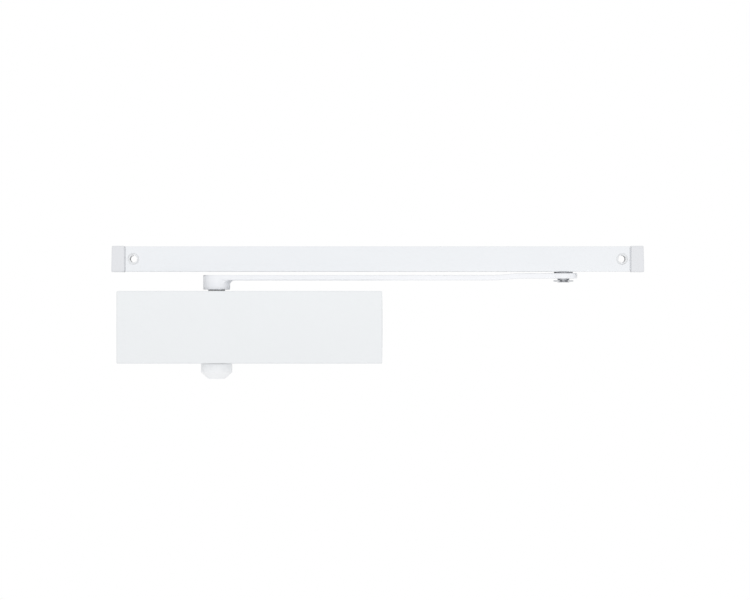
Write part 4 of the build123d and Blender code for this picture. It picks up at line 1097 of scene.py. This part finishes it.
class CLOSER_OT_spring(bpy.types.Operator):
    """Builds the main spring at rest; in the closer it shortens as the piston comes towards its seat"""

    bl_idname = "closer.spring"
    bl_label = "Main spring"

    def execute(self, context):
        """Coils of round wire with closed, ground ends.

        The wire's middle runs round the bore's axis at the coil radius. Its place along the axis goes
        with the angle, less a sine of one turn's worth at each end, so that the end coils lie closed.
        The ends are ground by limiting every point to the spring's length.
        """
        sizes = context.scene.closer_spring
        low, high = span("main_spring")
        centre = (low + high) / 2
        wire = sizes.wire / 2
        coil = (high[2] - low[2]) / 2 - wire
        share = np.linspace(0, 1, int(sizes.turns) * 40 + 1)[:, None]
        angle = share * sizes.turns * 2 * math.pi
        eased = share - sizes.closing * np.sin(share * 2 * math.pi) / (2 * math.pi)
        rest_length = high[0] - low[0]
        outwards = np.concatenate([np.zeros_like(angle), np.cos(angle), np.sin(angle)], axis=1)
        path = centre * [0, 1, 1] + outwards * coil
        path[:, :1] = low[0] + wire * 0.4 + (rest_length - wire * 0.8) * eased
        ahead = np.gradient(path, axis=0)
        ahead /= np.linalg.norm(ahead, axis=1, keepdims=True)
        side = np.cross(ahead, outwards)
        around = circle((0, 0), wire, 18)[None]
        rings = path[:, None] + around[..., :1] * outwards[:, None] + around[..., 1:] * side[:, None]
        rings[:, :, 0] = np.clip(rings[:, :, 0], low[0], high[0])
        spring = loft("main_spring_coil", rings)
        finish_piece(smooth(spring, 40), "body", "spring_wire", "main_spring")
        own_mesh(spring)
        return {"FINISHED"}


class CLOSER_OT_mechanism(bpy.types.Operator):
    """Gives every piece inside the body and the rail its finish"""

    bl_idname = "closer.mechanism"
    bl_label = "Mechanism finishes"

    def execute(self, context):
        finishes = paints()
        for row in frame["record"]["subparts"]:
            node = frame["nodes"][row["node"]]
            node.data.materials.clear()
            node.data.materials.append(finishes[row["material_slot"]])
        return {"FINISHED"}


# ---------------------------------------------------------------- stage


def area_light(name, place_at, aim, width, height, power):
    """A soft rectangular light that faces a point."""
    data = bpy.data.lights.new(name, "AREA")
    data.shape = "RECTANGLE"
    data.size = width
    data.size_y = height
    data.energy = power
    light = bpy.data.objects.new(name, data)
    bpy.context.scene.collection.objects.link(light)
    light.location = place_at
    light.rotation_euler = (Vector(aim) - Vector(place_at)).to_track_quat("-Z", "Y").to_euler()


# Each light's name, place, width and height in metres, and the studio setting that gives its power.
LIGHTS = (
    ("Key", (0.3, -2.2, -0.5), 1.8, 0.4, "key"),
    ("Left", (-1.9, -1.3, 0.1), 1.0, 0.8, "fill"),
    ("Front", (0.6, -6.8, -0.2), 3.0, 1.6, "front"),
    ("Overhead", (0.1, -0.7, 1.5), 1.8, 0.8, "fill"),
    ("Fill", (1.3, -1.1, 1.1), 1.2, 1.2, "fill"),
    ("Back fill", (-0.9, 1.4, 0.9), 1.2, 1.2, "fill"),
)


class CLOSER_OT_stage(bpy.types.Operator):
    """Builds the pale floor, the soft lights, the sky and the camera"""

    bl_idname = "closer.stage"
    bl_label = "Stage"

    def execute(self, context):
        scene = context.scene
        studio = scene.closer_studio
        scene.view_settings.view_transform = "Standard"
        self.sky(scene, studio.sky)
        self.floor(studio)
        aim = (studio.aim_x, 0.0, studio.aim_z)
        for name, place_at, width, height, setting in LIGHTS:
            area_light(name, place_at, aim, width, height, getattr(studio, setting))
        data = bpy.data.cameras.new("Camera")
        data.sensor_width = 36.0
        data.lens = data.sensor_width * studio.distance / studio.view_width
        data.clip_end = 20.0
        camera = bpy.data.objects.new("Camera", data)
        scene.collection.objects.link(camera)
        camera.location = (studio.aim_x, -studio.distance, studio.aim_z)
        camera.rotation_euler = (math.pi / 2, 0.0, 0.0)
        scene.camera = camera
        return {"FINISHED"}

    def sky(self, scene, strength):
        """Even white surround. The eye sees it at full white, and pieces are lit by less of it."""
        world = bpy.data.worlds.new("Studio white")
        scene.world = world
        world.use_nodes = True
        tree = world.node_tree
        shade = tree.nodes["Background"]
        shade.inputs["Color"].default_value = (1.0, 1.0, 1.0, 1.0)
        path = place(tree, "LightPath")
        blend = place(tree, "Mix", inputs={"A": strength, "B": 1.0})
        tree.links.new(path.outputs["Is Camera Ray"], blend.inputs["Factor"])
        tree.links.new(blend.outputs["Result"], shade.inputs["Strength"])

    def floor(self, studio):
        """A round pale floor below the object."""
        sides = 128
        centre = (studio.aim_x, 0)
        points = np.full((sides + 1, 3), CAD_BOX[0][2] - studio.floor_drop)
        points[0, :2] = centre
        points[1:, :2] = circle(centre, studio.floor_radius, sides)
        faces = [[0, 1 + i, 1 + (i + 1) % sides] for i in range(sides)]
        floor = new_piece("floor", points, faces)
        material = bpy.data.materials.new("Pale floor")
        material.use_nodes = True
        tree = material.node_tree
        shader = tree.nodes["Principled BSDF"]
        where = place(tree, "TexCoord").outputs["Object"]
        ramp = place(tree, "MapRange", inputs={"To Min": 0.90, "To Max": 0.94})
        tree.links.new(noise(tree, where, 6.0, 4.0), ramp.inputs["Value"])
        tree.links.new(ramp.outputs["Result"], shader.inputs["Base Color"])
        shader.inputs["Roughness"].default_value = 0.7
        floor.data.materials.append(material)


# ---------------------------------------------------------------- panel and running


OPERATORS = (
    CLOSER_OT_mechanism,
    CLOSER_OT_housing,
    CLOSER_OT_cover,
    CLOSER_OT_arm,
    CLOSER_OT_rail,
    CLOSER_OT_rail_caps,
    CLOSER_OT_shaft_cap,
    CLOSER_OT_slider,
    CLOSER_OT_spring,
    CLOSER_OT_stage,
)


class CLOSER_PT_panel(bpy.types.Panel):
    """Lists the closer's sizes and the buttons that build its pieces"""

    bl_idname = "CLOSER_PT_panel"
    bl_label = "Door closer"
    bl_space_type = "VIEW_3D"
    bl_region_type = "UI"
    bl_category = "Door closer"

    def draw(self, context):
        layout = self.layout
        for name, kind in SETTINGS.items():
            box = layout.box()
            for key in kind.__annotations__:
                box.prop(getattr(context.scene, name), key)
        for operator in OPERATORS:
            layout.operator(operator.bl_idname)


SETTINGS = {
    "closer_housing": HousingSizes,
    "closer_cover": CoverSizes,
    "closer_spring": SpringSizes,
    "closer_arm": ArmSizes,
    "closer_rail": RailSizes,
    "closer_finishes": Finishes,
    "closer_studio": Studio,
}


def register():
    for kind in (*SETTINGS.values(), *OPERATORS, CLOSER_PT_panel):
        bpy.utils.register_class(kind)
    for name, kind in SETTINGS.items():
        setattr(bpy.types.Scene, name, PointerProperty(type=kind))


def unregister():
    for name in SETTINGS:
        delattr(bpy.types.Scene, name)
    for kind in reversed((*SETTINGS.values(), *OPERATORS, CLOSER_PT_panel)):
        bpy.utils.unregister_class(kind)


def main():
    """Builds the closer."""
    register()
    for operator in OPERATORS:
        group, name = operator.bl_idname.split(".")
        getattr(getattr(bpy.ops, group), name)()


if __name__ == "__main__":
    main()
